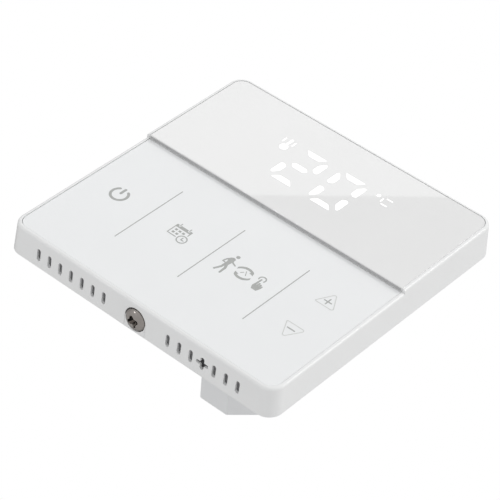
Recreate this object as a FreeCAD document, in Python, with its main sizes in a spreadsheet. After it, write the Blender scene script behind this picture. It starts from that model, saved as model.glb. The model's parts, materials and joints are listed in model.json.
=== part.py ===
import FreeCAD, Part
import math
import operator
import os
import Sketcher

# Wall thermostat with a touch front.  Millimetres.  X is to the right, Z is up, and the front looks
# along -Y.  The origin is the middle of the back rim, in the plane of the wall (y = 0).
# The front hangs from two hooks of the steel plate and tilts off it.  The housing behind the plate
# sits in the wall box.

SIZES = {
    # Front shell
    "rim_half": 42.75,
    "rim_low": 43.0,
    "rim_high": 42.0,
    "front_half": 42.1,
    "shell_depth": 8.2,
    "display_rise": 1.1,
    "shell_corner": 4.0,
    "front_edge_round": 0.8,
    "cavity_half": 41.0,
    "cavity_depth": 5.7,
    "cavity_corner": 2.5,
    "step_level": 5.9,
    "top_relief": 0.8,
    # Panels let into the front
    "panel_half": 41.15,
    "panel_corner": 3.1,
    "panel_gap": 0.1,
    "panel_inset": 0.1,
    "panel_thick": 1.2,
    "lens_thick": 1.5,
    "lens_inset": 0.05,
    "panel_edge_round": 0.2,
    # Display
    "window_left": -17.8,
    "window_right": 21.3,
    "window_low": 13.3,
    "window_high": 32.7,
    "window_gap": 0.2,
    "diffuser_thick": 0.3,
    "digit_pitch": 12.75,
    "digit_first": -5.6,
    "digit_middle": 22.9,
    "digit_width": 7.7,
    "digit_height": 13.0,
    "segment_length": 4.9,
    "segment_width": 1.5,
    "guide_gap": 0.05,
    "chip_side": 0.9,
    # Display board
    "board_front": 4.7,
    "board_thick": 1.2,
    "board_half": 38.5,
    "board_low": -34.5,
    "board_high": 37.0,
    "board_screw_x": 34.0,
    "board_screw_z": 30.0,
    "board_boss_radius": 2.2,
    "board_hole_radius": 0.9,
    "board_screw_radius": 0.7,
    "board_screw_length": 2.6,
    "board_head_radius": 1.6,
    "board_head_height": 0.8,
    "screw_gap": 0.05,
    "key_radius": 4.0,
    "key_pitch": 20.7,
    "key_level": -16.4,
    "key_apart": 6.8,
    "key_gap": 0.05,
    "buzzer_x": 29.0,
    "buzzer_level": -10.0,
    "buzzer_radius": 4.5,
    "buzzer_height": 1.9,
    # Vent slots
    "vent_first": 10.36,
    "vent_pitch": 3.633,
    "vent_depth": 3.63,
    "vent_width": 1.2,
    "vent_length": 3.45,
    "cross_length": 3.84,
    "cross_width": 1.0,
    # Lock screw and its recess
    "lock_depth": 3.4,
    "lock_recess_radius": 3.3,
    "lock_recess_top": -40.6,
    "lock_slot_radius": 1.8,
    "lock_boss_half": 4.9,
    "lock_boss_top": -39.4,
    "lock_head_radius": 3.0,
    "lock_head_height": 1.9,
    "lock_shank_radius": 1.45,
    "lock_hole_radius": 1.52,
    "lock_tip": -35.2,
    "lock_point": 0.5,
    "lock_clearance": 0.05,
    "washer_thick": 0.3,
    "washer_radius": 2.9,
    "washer_hole": 1.6,
    "cross_arm": 3.2,
    "cross_arm_width": 0.75,
    "cross_recess_depth": 1.2,
    # Hooks at the top
    "hinge_depth": 2.0,
    "hinge_level": 40.0,
    "bead_radius": 0.6,
    "neck_half": 0.4,
    "hook_x": 24.0,
    "bead_half": 3.0,
    "hook_half": 3.5,
    "hook_floor_low": 38.3,
    "hook_floor_high": 39.1,
    "hook_lip_high": 40.5,
    "hook_lip_back": 2.9,
    "hook_lip_front": 3.8,
    # Wall plate
    "plate_thick": 1.2,
    "plate_half": 38.0,
    "plate_low": -37.8,
    "plate_opening_x": 20.0,
    "plate_opening_z": 19.0,
    "mount_half": 30.0,
    "mount_slot_width": 4.2,
    "mount_slot_length": 7.0,
    "tab_half": 8.0,
    "tab_front": 5.4,
    "tab_low": -39.0,
    "tab_notch_half": 3.5,
    "tab_notch_top": -34.0,
    "nut_radius": 2.1,
    "nut_top": -35.9,
    # Housing in the wall box
    "housing_half_x": 25.0,
    "housing_half_z": 24.0,
    "housing_depth": 24.2,
    "housing_wall": 1.6,
    "lobe_left": 10.3,
    "lobe_low": -29.5,
    "lobe_chamfer": 5.9,
    "housing_round": 0.6,
    "rib_width": 1.8,
    "rib_length": 12.0,
    "lid_screw_x": 22.0,
    "lid_screw_z": 21.0,
    "lid_boss_radius": 2.6,
    "lid_half_x": 24.0,
    "lid_half_z": 23.0,
    "lid_thick": 1.0,
    "lid_head_radius": 1.95,
    "lid_head_height": 0.5,
    "lid_shank_radius": 0.95,
    "lid_screw_length": 9.0,
    "lid_hole_radius": 1.15,
    # Power board
    "power_front": 3.0,
    "power_thick": 1.6,
    "power_half_x": 22.9,
    "power_half_z": 21.9,
    "power_corner": 4.0,
    "varistor_x": 6.0,
    "varistor_radius": 4.0,
    "varistor_low": 1.5,
    "varistor_high": 5.0,
    # Plug between the two boards
    "plug_level": -14.0,
    "plug_half": 8.0,
    "plug_pins": 8.0,
    "plug_pitch": 2.0,
    "pin_side": 0.5,
    "pin_tip": 3.3,
    "plug_top": 0.8,
    "plug_half_z": 1.25,
    "socket_half_x": 8.6,
    "socket_half_z": 1.6,
    "socket_back": 1.3,
    "socket_slot_x": 7.7,
    "socket_slot_z": 0.6,
    "socket_opening_x": 9.2,
    "socket_opening_z": 2.3,
    # Terminals
    "terminal_pitch": 6.2,
    "driver_slot_width": 0.6,
    "driver_slot_depth": 0.8,
    "terminal_level": 14.2,
    "block_half": 19.2,
    "block_low": 10.4,
    "block_high": 20.8,
    "block_front": 12.2,
    "chamber_half": 2.3,
    "chamber_front": 12.9,
    "chamber_back": 19.2,
    "chamber_low": 11.0,
    "head_pocket_front": 20.0,
    "head_pocket_radius": 2.05,
    "cage_half": 2.1,
    "cage_front": 13.1,
    "cage_depth": 5.0,
    "cage_wall": 0.8,
    "cage_low": 11.4,
    "cage_high": 17.0,
    "bar_half": 1.1,
    "bar_front": 16.0,
    "bar_thick": 0.8,
    "bar_high": 16.6,
    "bar_low": 9.2,
    "bar_pin": 1.0,
    "bar_slot_gap": 0.3,
    "terminal_head_radius": 1.9,
    "terminal_head_back": 21.6,
    "terminal_head_front": 20.05,
    "terminal_shank_radius": 1.25,
    "terminal_tip": 17.0,
    "terminal_thread_gap": 0.1,
    "driver_hole_radius": 2.1,
    "wire_half": 2.0,
    "wire_back": 17.5,
    # Relay
    "relay_left": -18.8,
    "relay_right": 0.2,
    "relay_low": -20.0,
    "relay_high": -5.0,
    "relay_top": 20.2,
    "relay_wall": 0.7,
    "relay_floor_top": 6.2,
    "relay_middle": -12.5,
    "coil_x": -13.0,
    "core_radius": 1.5,
    "pole_radius": 2.6,
    "pole_front": 16.5,
    "pole_face": 16.9,
    "yoke_left": -16.0,
    "yoke_right": -6.9,
    "yoke_thick": 1.0,
    "yoke_half": 3.0,
    "bobbin_low": 7.25,
    "bobbin_high": 16.1,
    "bobbin_flange": 0.7,
    "bobbin_radius": 4.6,
    "bobbin_hub": 2.0,
    "winding_radius": 4.2,
    "part_gap": 0.05,
    "armature_gap": 0.08,
    "armature_left": -17.0,
    "armature_pivot": -7.0,
    "armature_thick": 1.0,
    "armature_half": 3.5,
    "armature_open": 4.0,
    "blade_left": -5.9,
    "blade_thick": 0.4,
    "blade_half": 2.0,
    "blade_end": 8.5,
    "contact_level": 9.5,
    "contact_radius": 1.0,
    "contact_height": 0.5,
    "strip_left": -4.4,
    "strip_thick": 0.5,
    "strip_top": 12.0,
}

DOCUMENT = FreeCAD.newDocument("wall_thermostat")
SUBPARTS = []
FAR = 50.0
OPERATIONS = {"+": operator.add, "-": operator.sub, "*": operator.mul, "/": operator.truediv}


class Length:
    """A number together with the sheet expression that gives it."""

    def __init__(self, number, text):
        self.number = number
        self.text = text

    def __add__(self, other):
        return combined(self, "+", other)

    def __radd__(self, other):
        return combined(other, "+", self)

    def __sub__(self, other):
        return combined(self, "-", other)

    def __rsub__(self, other):
        return combined(other, "-", self)

    def __mul__(self, other):
        return combined(self, "*", other)

    def __rmul__(self, other):
        return combined(other, "*", self)

    def __truediv__(self, other):
        return combined(self, "/", other)

    def __neg__(self):
        return combined(0.0, "-", self)


def as_length(value):
    """Turn a plain number into a Length."""
    if isinstance(value, Length):
        return value
    return Length(float(value), f"({float(value):.6g})")


def combined(first, sign, second):
    """Join two lengths by one arithmetic sign."""
    first = as_length(first)
    second = as_length(second)
    number = OPERATIONS[sign](first.number, second.number)
    return Length(number, f"({first.text} {sign} {second.text})")


def size(name):
    """A driving dimension of the sheet."""
    return Length(SIZES[name], f"Sizes.{name}")


def fill_sheet():
    """Write the driving dimensions into the spreadsheet."""
    sheet = DOCUMENT.addObject("Spreadsheet::Sheet", "Sizes")
    for row, (name, value) in enumerate(SIZES.items(), start=1):
        sheet.set(f"A{row}", name)
        sheet.set(f"B{row}", str(value))
        sheet.setAlias(f"B{row}", name)
    DOCUMENT.recompute()


def bind(feature, name, value):
    """Bind a property of a feature to an expression."""
    feature.setExpression(name, as_length(value).text)


# Sketch outlines.  Each function returns one that draws itself into a sketch.

def fix_point(sketch, geometry, point, across, up):
    """Fix a point of the sketch at two bound distances from its origin."""
    for kind, value in (("DistanceX", across), ("DistanceY", up)):
        value = as_length(value)
        index = sketch.addConstraint(Sketcher.Constraint(kind, -1, 1, geometry, point, value.number))
        sketch.setExpression(f"Constraints[{index}]", value.text)


def fix_radius(sketch, geometry, radius):
    """Bind the radius of a circle or arc."""
    radius = as_length(radius)
    index = sketch.addConstraint(Sketcher.Constraint("Radius", geometry, radius.number))
    sketch.setExpression(f"Constraints[{index}]", radius.text)


def flat(across, up):
    """A sketch point as a vector."""
    return FreeCAD.Vector(as_length(across).number, as_length(up).number, 0.0)


def polygon(points):
    """A closed outline of straight lines."""
    def draw(sketch):
        first = sketch.GeometryCount
        count = len(points)
        for index in range(count):
            start = flat(*points[index])
            end = flat(*points[(index + 1) % count])
            sketch.addGeometry(Part.LineSegment(start, end))
        for index in range(count):
            after = first + (index + 1) % count
            sketch.addConstraint(Sketcher.Constraint("Coincident", first + index, 2, after, 1))
        for index, (across, up) in enumerate(points):
            fix_point(sketch, first + index, 1, across, up)
    return draw


def rectangle(left, right, low, high):
    """A rectangle between four bound sides."""
    return polygon([(left, low), (right, low), (right, high), (left, high)])


def centred(across, up, width, height):
    """A rectangle about its middle."""
    return rectangle(across - width / 2, across + width / 2, up - height / 2, up + height / 2)


def rounded(left, right, low, high, radius, which=(0, 1, 2, 3)):
    """A rectangle with some corners rounded, counted from the lower left one, counterclockwise."""
    corners = [(left, low), (right, low), (right, high), (left, high)]
    entries = [(0.0, radius), (-radius, 0.0), (0.0, -radius), (radius, 0.0)]
    exits = [(radius, 0.0), (0.0, radius), (-radius, 0.0), (0.0, -radius)]

    def moved(corner, step):
        return (corner[0] + step[0], corner[1] + step[1])

    def draw(sketch):
        starts = []
        ends = []
        for index, corner in enumerate(corners):
            bent = index in which
            ends.append(moved(corner, entries[index]) if bent else corner)
            starts.append(moved(corner, exits[index]) if bent else corner)
        lines = []
        for index in range(4):
            after = (index + 1) % 4
            lines.append(sketch.addGeometry(Part.LineSegment(flat(*starts[index]), flat(*ends[after]))))
            fix_point(sketch, lines[index], 1, *starts[index])
        for index in range(4):
            before = lines[index - 1]
            if index not in which:
                sketch.addConstraint(Sketcher.Constraint("Coincident", before, 2, lines[index], 1))
                continue
            fix_point(sketch, before, 2, *ends[index])
            turn = (entries[index][0] + exits[index][0], entries[index][1] + exits[index][1])
            centre = flat(*moved(corners[index], turn))
            round_end = Part.Circle(centre, FreeCAD.Vector(0, 0, 1), radius.number)
            start = (2 + index) * math.pi / 2
            arc = sketch.addGeometry(Part.ArcOfCircle(round_end, start, start + math.pi / 2))
            sketch.addConstraint(Sketcher.Constraint("Coincident", before, 2, arc, 1))
            sketch.addConstraint(Sketcher.Constraint("Coincident", arc, 2, lines[index], 1))
            fix_radius(sketch, arc, radius)
    return draw


def circle(across, up, radius):
    """A full circle."""
    def draw(sketch):
        centre = flat(across, up)
        index = sketch.addGeometry(Part.Circle(centre, FreeCAD.Vector(0, 0, 1), radius.number))
        fix_point(sketch, index, 3, across, up)
        fix_radius(sketch, index, radius)
    return draw


def slot(across, up, length, width, upright):
    """A slot with round ends, along the sketch's second axis if upright."""
    def draw(sketch):
        reach = (length - width) / 2
        radius = width / 2
        step_across = 0.0 if upright else reach
        step_up = reach if upright else 0.0
        ends = [(across + step_across, up + step_up), (across - step_across, up - step_up)]
        turn = 0.0 if upright else -math.pi / 2
        indices = []
        for number, centre in enumerate(ends):
            round_end = Part.Circle(flat(*centre), FreeCAD.Vector(0, 0, 1), radius.number)
            start = turn + number * math.pi
            indices.append(sketch.addGeometry(Part.ArcOfCircle(round_end, start, start + math.pi)))
        sides = []
        for number in (0, 1):
            start = sketch.getPoint(indices[number], 2)
            end = sketch.getPoint(indices[1 - number], 1)
            sides.append(sketch.addGeometry(Part.LineSegment(start, end)))
        for number in (0, 1):
            tangent_out = Sketcher.Constraint("Tangent", indices[number], 2, sides[number], 1)
            tangent_in = Sketcher.Constraint("Tangent", sides[number], 2, indices[1 - number], 1)
            sketch.addConstraint(tangent_out)
            sketch.addConstraint(tangent_in)
        sketch.addConstraint(Sketcher.Constraint("Equal", indices[0], indices[1]))
        fix_radius(sketch, indices[0], radius)
        for index, centre in zip(indices, ends):
            fix_point(sketch, index, 3, *centre)
    return draw


def open_slot(up, radius, open_end):
    """A slot along the second axis: a round end at one height and an open end at the other."""
    def draw(sketch):
        round_end = Part.Circle(flat(0.0, up), FreeCAD.Vector(0, 0, 1), radius.number)
        arc = sketch.addGeometry(Part.ArcOfCircle(round_end, math.pi, 2 * math.pi))
        corners = [flat(radius, up), flat(radius, open_end), flat(-radius, open_end), flat(-radius, up)]
        lines = []
        for number in range(3):
            line = Part.LineSegment(corners[number], corners[number + 1])
            lines.append(sketch.addGeometry(line))
        sketch.addConstraint(Sketcher.Constraint("Tangent", arc, 2, lines[0], 1))
        sketch.addConstraint(Sketcher.Constraint("Coincident", lines[0], 2, lines[1], 1))
        sketch.addConstraint(Sketcher.Constraint("Coincident", lines[1], 2, lines[2], 1))
        sketch.addConstraint(Sketcher.Constraint("Tangent", lines[2], 2, arc, 1))
        sketch.addConstraint(Sketcher.Constraint("Horizontal", lines[1]))
        sketch.addConstraint(Sketcher.Constraint("Vertical", lines[0]))
        sketch.addConstraint(Sketcher.Constraint("Vertical", lines[2]))
        fix_radius(sketch, arc, radius)
        fix_point(sketch, arc, 3, 0.0, up)
        height = as_length(open_end)
        index = sketch.addConstraint(
            Sketcher.Constraint("DistanceY", -1, 1, lines[1], 1, height.number))
        sketch.setExpression(f"Constraints[{index}]", height.text)
    return draw


# Part Design features.  XZ sketches look along -Y, so their third axis counts depth from the wall
# towards the front.  XY sketches look along +Z and YZ sketches along +X.

def new_body(label):
    """A part body that counts as a sub-part."""
    body = DOCUMENT.addObject("PartDesign::Body", label)
    body.Label = label
    SUBPARTS.append(body)
    return body


def new_sketch(body, plane, offset, outlines, shift=(0.0, 0.0)):
    """A sketch on one of the body's own planes, moved along its normal and within the plane."""
    sketch = body.newObject("Sketcher::SketchObject", f"{body.Name}_sketch")
    origin = [part for part in body.Origin.OriginFeatures if part.Role == f"{plane}_Plane"][0]
    sketch.AttachmentSupport = [(origin, "")]
    sketch.MapMode = "FlatFace"
    bind(sketch, "AttachmentOffset.Base.x", shift[0])
    bind(sketch, "AttachmentOffset.Base.y", shift[1])
    bind(sketch, "AttachmentOffset.Base.z", offset)
    for draw in outlines:
        draw(sketch)
    return sketch


def add(body, plane, start, end, outlines, taper=None):
    """Pad outlines from one level along the plane's normal to another."""
    feature_sketch = new_sketch(body, plane, start, outlines)
    feature = body.newObject("PartDesign::Pad", f"{body.Name}_pad")
    feature.Profile = feature_sketch
    bind(feature, "Length", end - start)
    if taper is not None:
        bind(feature, "TaperAngle", taper)
    DOCUMENT.recompute()
    check_state(feature)
    return feature


def cut(body, plane, start, end, outlines):
    """Pocket outlines between two levels along the plane's normal, and see that material went."""
    before = body.Shape.Volume
    feature_sketch = new_sketch(body, plane, end, outlines)
    feature = body.newObject("PartDesign::Pocket", f"{body.Name}_pocket")
    feature.Profile = feature_sketch
    bind(feature, "Length", end - start)
    DOCUMENT.recompute()
    check_state(feature)
    if body.Shape.Volume >= before:
        raise RuntimeError(f"{feature.Name} cuts nothing")
    return feature


def turned(body, plane, offset, shift, points):
    """Revolve a closed outline about its sketch's vertical axis."""
    feature_sketch = new_sketch(body, plane, offset, [polygon(points)], shift)
    feature = body.newObject("PartDesign::Revolution", f"{body.Name}_revolution")
    feature.Profile = feature_sketch
    feature.ReferenceAxis = (feature_sketch, ["V_Axis"])
    feature.Angle = 360.0
    DOCUMENT.recompute()
    check_state(feature)
    return feature


def round_edges(body, radius, wanted):
    """Fillet the edges of the body's tip whose middle point passes the test."""
    base = body.Tip
    names = []
    for number, edge in enumerate(base.Shape.Edges, start=1):
        middle = edge.valueAt((edge.FirstParameter + edge.LastParameter) / 2)
        if wanted(edge, middle):
            names.append(f"Edge{number}")
    if not names:
        raise RuntimeError(f"{body.Name} has no edge to round")
    feature = body.newObject("PartDesign::Fillet", f"{body.Name}_fillet")
    feature.Base = (base, names)
    bind(feature, "Radius", radius)
    DOCUMENT.recompute()
    check_state(feature)
    return feature


def check_state(feature):
    """Stop if a feature failed."""
    if "Invalid" in feature.State or "Error" in feature.State:
        raise RuntimeError(f"{feature.Name} failed: {feature.State}")


def near(first, second, reach=0.02):
    """Whether two plain numbers agree."""
    return abs(first - second) < reach


def along_y(edge):
    """Whether an edge is a straight line along Y."""
    first = edge.firstVertex().Point
    last = edge.lastVertex().Point
    return near(first.x, last.x) and near(first.z, last.z) and not near(first.y, last.y)


# Primitives.

def box_feature(name, sides):
    """A Part box between bound sides (left, right, front, back, low, high)."""
    left, right, front, back, low, high = sides
    feature = DOCUMENT.addObject("Part::Box", name)
    for prop, start, end in (("Length", left, right), ("Width", front, back), ("Height", low, high)):
        bind(feature, prop, as_length(end) - start)
    for axis, start in (("x", left), ("y", front), ("z", low)):
        bind(feature, f"Placement.Base.{axis}", start)
    return feature


def drum_feature(name, across, up, radius, front, back):
    """A Part cylinder along Y."""
    feature = DOCUMENT.addObject("Part::Cylinder", name)
    feature.Placement = FreeCAD.Placement(FreeCAD.Vector(), FreeCAD.Rotation(FreeCAD.Vector(1, 0, 0), -90))
    bind(feature, "Radius", radius)
    bind(feature, "Height", as_length(back) - front)
    for axis, start in (("x", across), ("y", front), ("z", up)):
        bind(feature, f"Placement.Base.{axis}", start)
    return feature


def named(label, feature):
    """Make a feature a sub-part."""
    feature.Label = label
    SUBPARTS.append(feature)
    return feature


def block(label, *sides):
    """A sub-part that is one plain block."""
    return named(label, box_feature(f"{label}_box", sides))


def group(label, features):
    """A sub-part that holds several separate solids."""
    compound = DOCUMENT.addObject("Part::Compound", f"{label}_group")
    compound.Links = features
    return named(label, compound)


# Levels that several sub-parts share.  Depth counts from the wall towards the front.

LOWER_FRONT = size("shell_depth")
UPPER_FRONT = size("shell_depth") + size("display_rise")
PANEL_FRONT = LOWER_FRONT - size("panel_inset")
PANEL_BACK = PANEL_FRONT - size("panel_thick")
LENS_FRONT = UPPER_FRONT - size("lens_inset")
LENS_BACK = LENS_FRONT - size("lens_thick")
BOARD_FRONT = size("board_front")
BOARD_BACK = BOARD_FRONT - size("board_thick")
LID_FRONT = size("plate_thick") + size("lid_thick")
POWER_BACK = size("power_front") + size("power_thick")
HOUSING_FLOOR = size("housing_depth") - size("housing_wall")
CORNERS = [(-1, -1), (1, -1), (1, 1), (-1, 1)]
LOWER_CORNERS = (0, 1)
UPPER_CORNERS = (2, 3)
VENTS_A_SIDE = 7
CROSS_VENT = 3
TERMINALS = 6


def vent_x(side, number):
    """The place of a vent slot, counted outwards from the middle."""
    return side * (size("vent_first") + number * size("vent_pitch"))


def corner_places(across, up):
    """Four places, one in each corner, at two distances of the sheet."""
    return [(side * size(across), level * size(up)) for side, level in CORNERS]


def terminal_x(number):
    """The place of a terminal, counted from the left."""
    return (number - (TERMINALS - 1) / 2) * size("terminal_pitch")


# Front

def front_shell():
    """The moulded frame of the front, open to the wall, with the recesses for both panels."""
    body = new_body("front_shell")
    sloped_block(body, LOWER_FRONT)
    raised = DOCUMENT.addObject("PartDesign::Body", "raised_part")
    sloped_block(raised, UPPER_FRONT)
    cut(raised, "XZ", as_length(0.0), UPPER_FRONT, [rectangle(-FAR, FAR, -FAR, size("step_level"))])
    union = body.newObject("PartDesign::Boolean", "front_shell_union")
    union.Type = "Fuse"
    union.setObjects([raised])
    DOCUMENT.recompute()
    check_state(union)
    cavity = size("cavity_half")
    cut(body, "XZ", as_length(0.0), size("cavity_depth"),
        [rounded(-cavity, cavity, -cavity, cavity, size("cavity_corner"))])
    reach = size("panel_half") + size("panel_gap")
    corner = size("panel_corner") + size("panel_gap")
    step = size("step_level")
    cut(body, "XZ", PANEL_BACK, LOWER_FRONT, [rounded(-reach, reach, -reach, step, corner, LOWER_CORNERS)])
    cut(body, "XZ", LENS_BACK, UPPER_FRONT, [rounded(-reach, reach, step, reach, corner, UPPER_CORNERS)])
    window = [rectangle(size("window_left"), size("window_right"), size("window_low"), size("window_high"))]
    cut(body, "XZ", size("cavity_depth"), LENS_BACK, window)
    shell_bosses(body)
    lock_recess(body)
    vents(body)
    hinge_beads(body)
    return body


def sloped_block(body, front):
    """A block whose four sides lean from the back rim to the front, with rounded corners and front edge."""
    side = size("rim_half")
    low = size("rim_low")
    high = size("rim_high")
    face = size("front_half")
    spare = face + 2.0
    end = -UPPER_FRONT
    add(body, "XZ", as_length(0.0), front, [rectangle(-side, side, -low, face)])
    wedges = []
    for way in (-1, 1):
        wedges.append(polygon([(way * side, 0.0), (way * face, end), (way * spare, end), (way * spare, 0.0)]))
    cut(body, "XY", as_length(-FAR), as_length(FAR), wedges)
    under = polygon([(0.0, -low), (end, -face), (end, -spare), (0.0, -spare)])
    over = polygon([(0.0, high), (end, face), (end, spare), (0.0, spare)])
    cut(body, "YZ", as_length(-FAR), as_length(FAR), [under, over])
    round_edges(body, size("shell_corner"), lambda edge, middle: runs_deep(edge))
    round_edges(body, size("front_edge_round"), lambda edge, middle: near(middle.y, -front.number))


def runs_deep(edge):
    """Whether an edge runs from the back rim towards the front."""
    first = edge.firstVertex().Point
    last = edge.lastVertex().Point
    return abs(first.y - last.y) > 1.0


def shell_bosses(body):
    """Four blind bosses that hold the display board."""
    bosses = []
    holes = []
    for centre in corner_places("board_screw_x", "board_screw_z"):
        bosses.append(circle(*centre, size("board_boss_radius")))
        holes.append(circle(*centre, size("board_screw_radius") + size("screw_gap")))
    add(body, "XZ", BOARD_FRONT, size("cavity_depth"), bosses)
    cut(body, "XZ", BOARD_FRONT, size("cavity_depth") + 0.8, holes)


def lock_recess(body):
    """The recess for the lock screw: open towards the wall, so that the front can swing away."""
    half = size("lock_boss_half")
    boss = [rectangle(-half, half, -size("cavity_half") - 0.2, size("lock_boss_top"))]
    add(body, "XZ", as_length(0.0), size("cavity_depth"), boss)
    recess = [open_slot(-size("lock_depth"), size("lock_recess_radius"), as_length(1.0))]
    cut(body, "XY", as_length(-FAR), size("lock_recess_top"), recess)
    shank = [open_slot(-size("lock_depth"), size("lock_slot_radius"), as_length(1.0))]
    cut(body, "XY", as_length(-FAR), size("lock_boss_top") + 0.5, shank)


def vents(body):
    """Rows of slots through the lower and the upper wall, with a cross for the room sensor."""
    slots = []
    for side in (-1, 1):
        for number in range(VENTS_A_SIDE):
            place = (vent_x(side, number), -size("vent_depth"))
            slots.append(slot(*place, size("vent_length"), size("vent_width"), upright=True))
    cavity = size("cavity_half")
    cut(body, "XY", as_length(-FAR), -cavity + 0.1, slots)
    cut(body, "XY", cavity - 0.1, as_length(FAR), slots)
    cross = slot(vent_x(1, CROSS_VENT), -size("vent_depth"), size("cross_length"), size("cross_width"),
                 upright=False)
    cut(body, "XY", as_length(-FAR), -cavity + 0.1, [cross])


def hinge_beads(body):
    """Two round beads under the upper wall, on which the front turns, and the relief behind them."""
    axis = (-size("hinge_depth"), size("hinge_level"))
    neck = size("neck_half")
    for side in (-1, 1):
        start = side * size("hook_x") - size("bead_half")
        end = side * size("hook_x") + size("bead_half")
        add(body, "YZ", start, end, [circle(*axis, size("bead_radius"))])
        rib = rectangle(axis[0] - neck, axis[0] + neck, axis[1], size("cavity_half") + 0.3)
        add(body, "YZ", start, end, [rib])
    relief = rectangle(-size("board_half"), size("board_half"), size("cavity_half") - 0.5, as_length(FAR))
    cut(body, "XZ", as_length(0.0), size("top_relief"), [relief])


def touch_panel():
    """The lower touch plate, with rounded lower corners."""
    body = new_body("touch_panel")
    half = size("panel_half")
    top = size("step_level") - size("panel_gap")
    corner = size("panel_corner")
    add(body, "XZ", PANEL_BACK, PANEL_FRONT, [rounded(-half, half, -half, top, corner, LOWER_CORNERS)])
    round_edges(body, size("panel_edge_round"), lambda edge, middle: near(middle.y, -PANEL_FRONT.number))
    return body


def display_lens():
    """The raised glossy plate over the display, with rounded upper corners."""
    body = new_body("display_lens")
    half = size("panel_half")
    corner = size("panel_corner")
    add(body, "XZ", LENS_BACK, LENS_FRONT,
        [rounded(-half, half, size("step_level"), half, corner, UPPER_CORNERS)])
    round_edges(body, size("panel_edge_round"), lambda edge, middle: near(middle.y, -LENS_FRONT.number))
    return body


def segment_places():
    """Middle, width and height of each light segment: two digits, then the small signs beside them."""
    places = []
    long_side = size("segment_length")
    short_side = size("segment_width")
    for digit in (0, 1):
        middle_x = size("digit_first") + digit * size("digit_pitch")
        middle_z = size("digit_middle")
        for step in (-1, 0, 1):
            places.append((middle_x, middle_z + step * size("digit_height") / 2, long_side, short_side))
        for side, level in CORNERS:
            across = middle_x + side * size("digit_width") / 2
            places.append((across, middle_z + level * size("digit_height") / 4, short_side, long_side))
    places.append((as_length(-14.2), as_length(28.0), as_length(4.2), as_length(5.4)))
    places.append((as_length(17.3), as_length(28.2), as_length(5.4), as_length(4.4)))
    return places


def display_parts():
    """Diffuser film, reflector block, light guides and light chips behind the lens."""
    gap = size("window_gap")
    sides = (size("window_left") + gap, size("window_right") - gap)
    levels = (size("window_low") + gap, size("window_high") - gap)
    diffuser_back = LENS_BACK - size("diffuser_thick")
    block("light_diffuser", *sides, -LENS_BACK, -diffuser_back, *levels)
    reflector = new_body("led_reflector")
    add(reflector, "XZ", BOARD_FRONT, diffuser_back, [rectangle(*sides, *levels)])
    openings = [centred(*place) for place in segment_places()]
    cut(reflector, "XZ", BOARD_FRONT, diffuser_back, openings)
    guides = []
    chips = []
    trim = size("guide_gap") * 2
    chip = size("chip_side")
    for number, (across, up, width, height) in enumerate(segment_places()):
        guide_sides = (across - (width - trim) / 2, across + (width - trim) / 2)
        guide_levels = (up - (height - trim) / 2, up + (height - trim) / 2)
        guide = (*guide_sides, -diffuser_back, -BOARD_FRONT - 0.9, *guide_levels)
        guides.append(box_feature(f"light_guide_{number}", guide))
        chip_sides = (across - chip / 2, across + chip / 2, -BOARD_FRONT - 0.6, -BOARD_FRONT)
        chips.append(box_feature(f"led_chip_{number}", (*chip_sides, up - chip / 2, up + chip / 2)))
    group("digit_light_guides", guides)
    group("led_chips", chips)


def key_places():
    """The middle of each touch key: three in a row, then up and down at the right."""
    level = size("key_level")
    row = [(size("key_pitch") * (number - 1.5), level) for number in range(3)]
    return row + [(size("key_pitch") * 1.5, level + way * size("key_apart")) for way in (1, -1)]


def display_board():
    """The board behind the panels, with what is soldered to it and what holds it."""
    board = new_body("display_pcb")
    half = size("board_half")
    outline = rectangle(-half, half, size("board_low"), size("board_high"))
    add(board, "XZ", BOARD_BACK, BOARD_FRONT, [outline])
    round_edges(board, as_length(2.0), lambda edge, middle: along_y(edge))
    screw_places = corner_places("board_screw_x", "board_screw_z")
    holes = [circle(*place, size("board_hole_radius")) for place in screw_places]
    cut(board, "XZ", BOARD_BACK, BOARD_FRONT, holes)
    pads = []
    reach = (-size("cavity_depth") + size("key_gap"), -BOARD_FRONT)
    for number, place in enumerate(key_places()):
        pads.append(drum_feature(f"touch_pad_{number}", *place, size("key_radius"), *reach))
    group("touch_contact_pads", pads)
    block("mcu_chip", -6.0, 6.0, -BOARD_BACK, -BOARD_BACK + 1.0, 0.0, 12.0)
    block("wifi_module", -9.0, 9.0, -BOARD_BACK, -BOARD_BACK + 0.8, 24.5, 36.5)
    block("wifi_shield", -8.0, 4.0, -BOARD_BACK + 0.8, -BOARD_BACK + 2.0, 25.5, 35.5)
    buzzer_place = (size("buzzer_x"), size("buzzer_level"), size("buzzer_radius"))
    drum = drum_feature("buzzer_drum", *buzzer_place, -BOARD_BACK, -BOARD_BACK + size("buzzer_height"))
    named("buzzer", drum)
    socket = new_body("board_socket")
    socket_half = size("socket_half_x")
    level = size("plug_level")
    sides = rectangle(-socket_half, socket_half, level - size("socket_half_z"), level + size("socket_half_z"))
    add(socket, "XZ", size("socket_back"), BOARD_BACK, [sides])
    slot_half = size("socket_slot_x")
    opening = rectangle(-slot_half, slot_half, level - size("socket_slot_z"), level + size("socket_slot_z"))
    cut(socket, "XZ", size("socket_back"), BOARD_BACK, [opening])
    room_sensor()
    screws_group("pcb_screws", screw_places, -BOARD_BACK, -1, size("board_head_radius"),
                 size("board_head_height"), size("board_screw_radius"), size("board_screw_length"))


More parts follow.
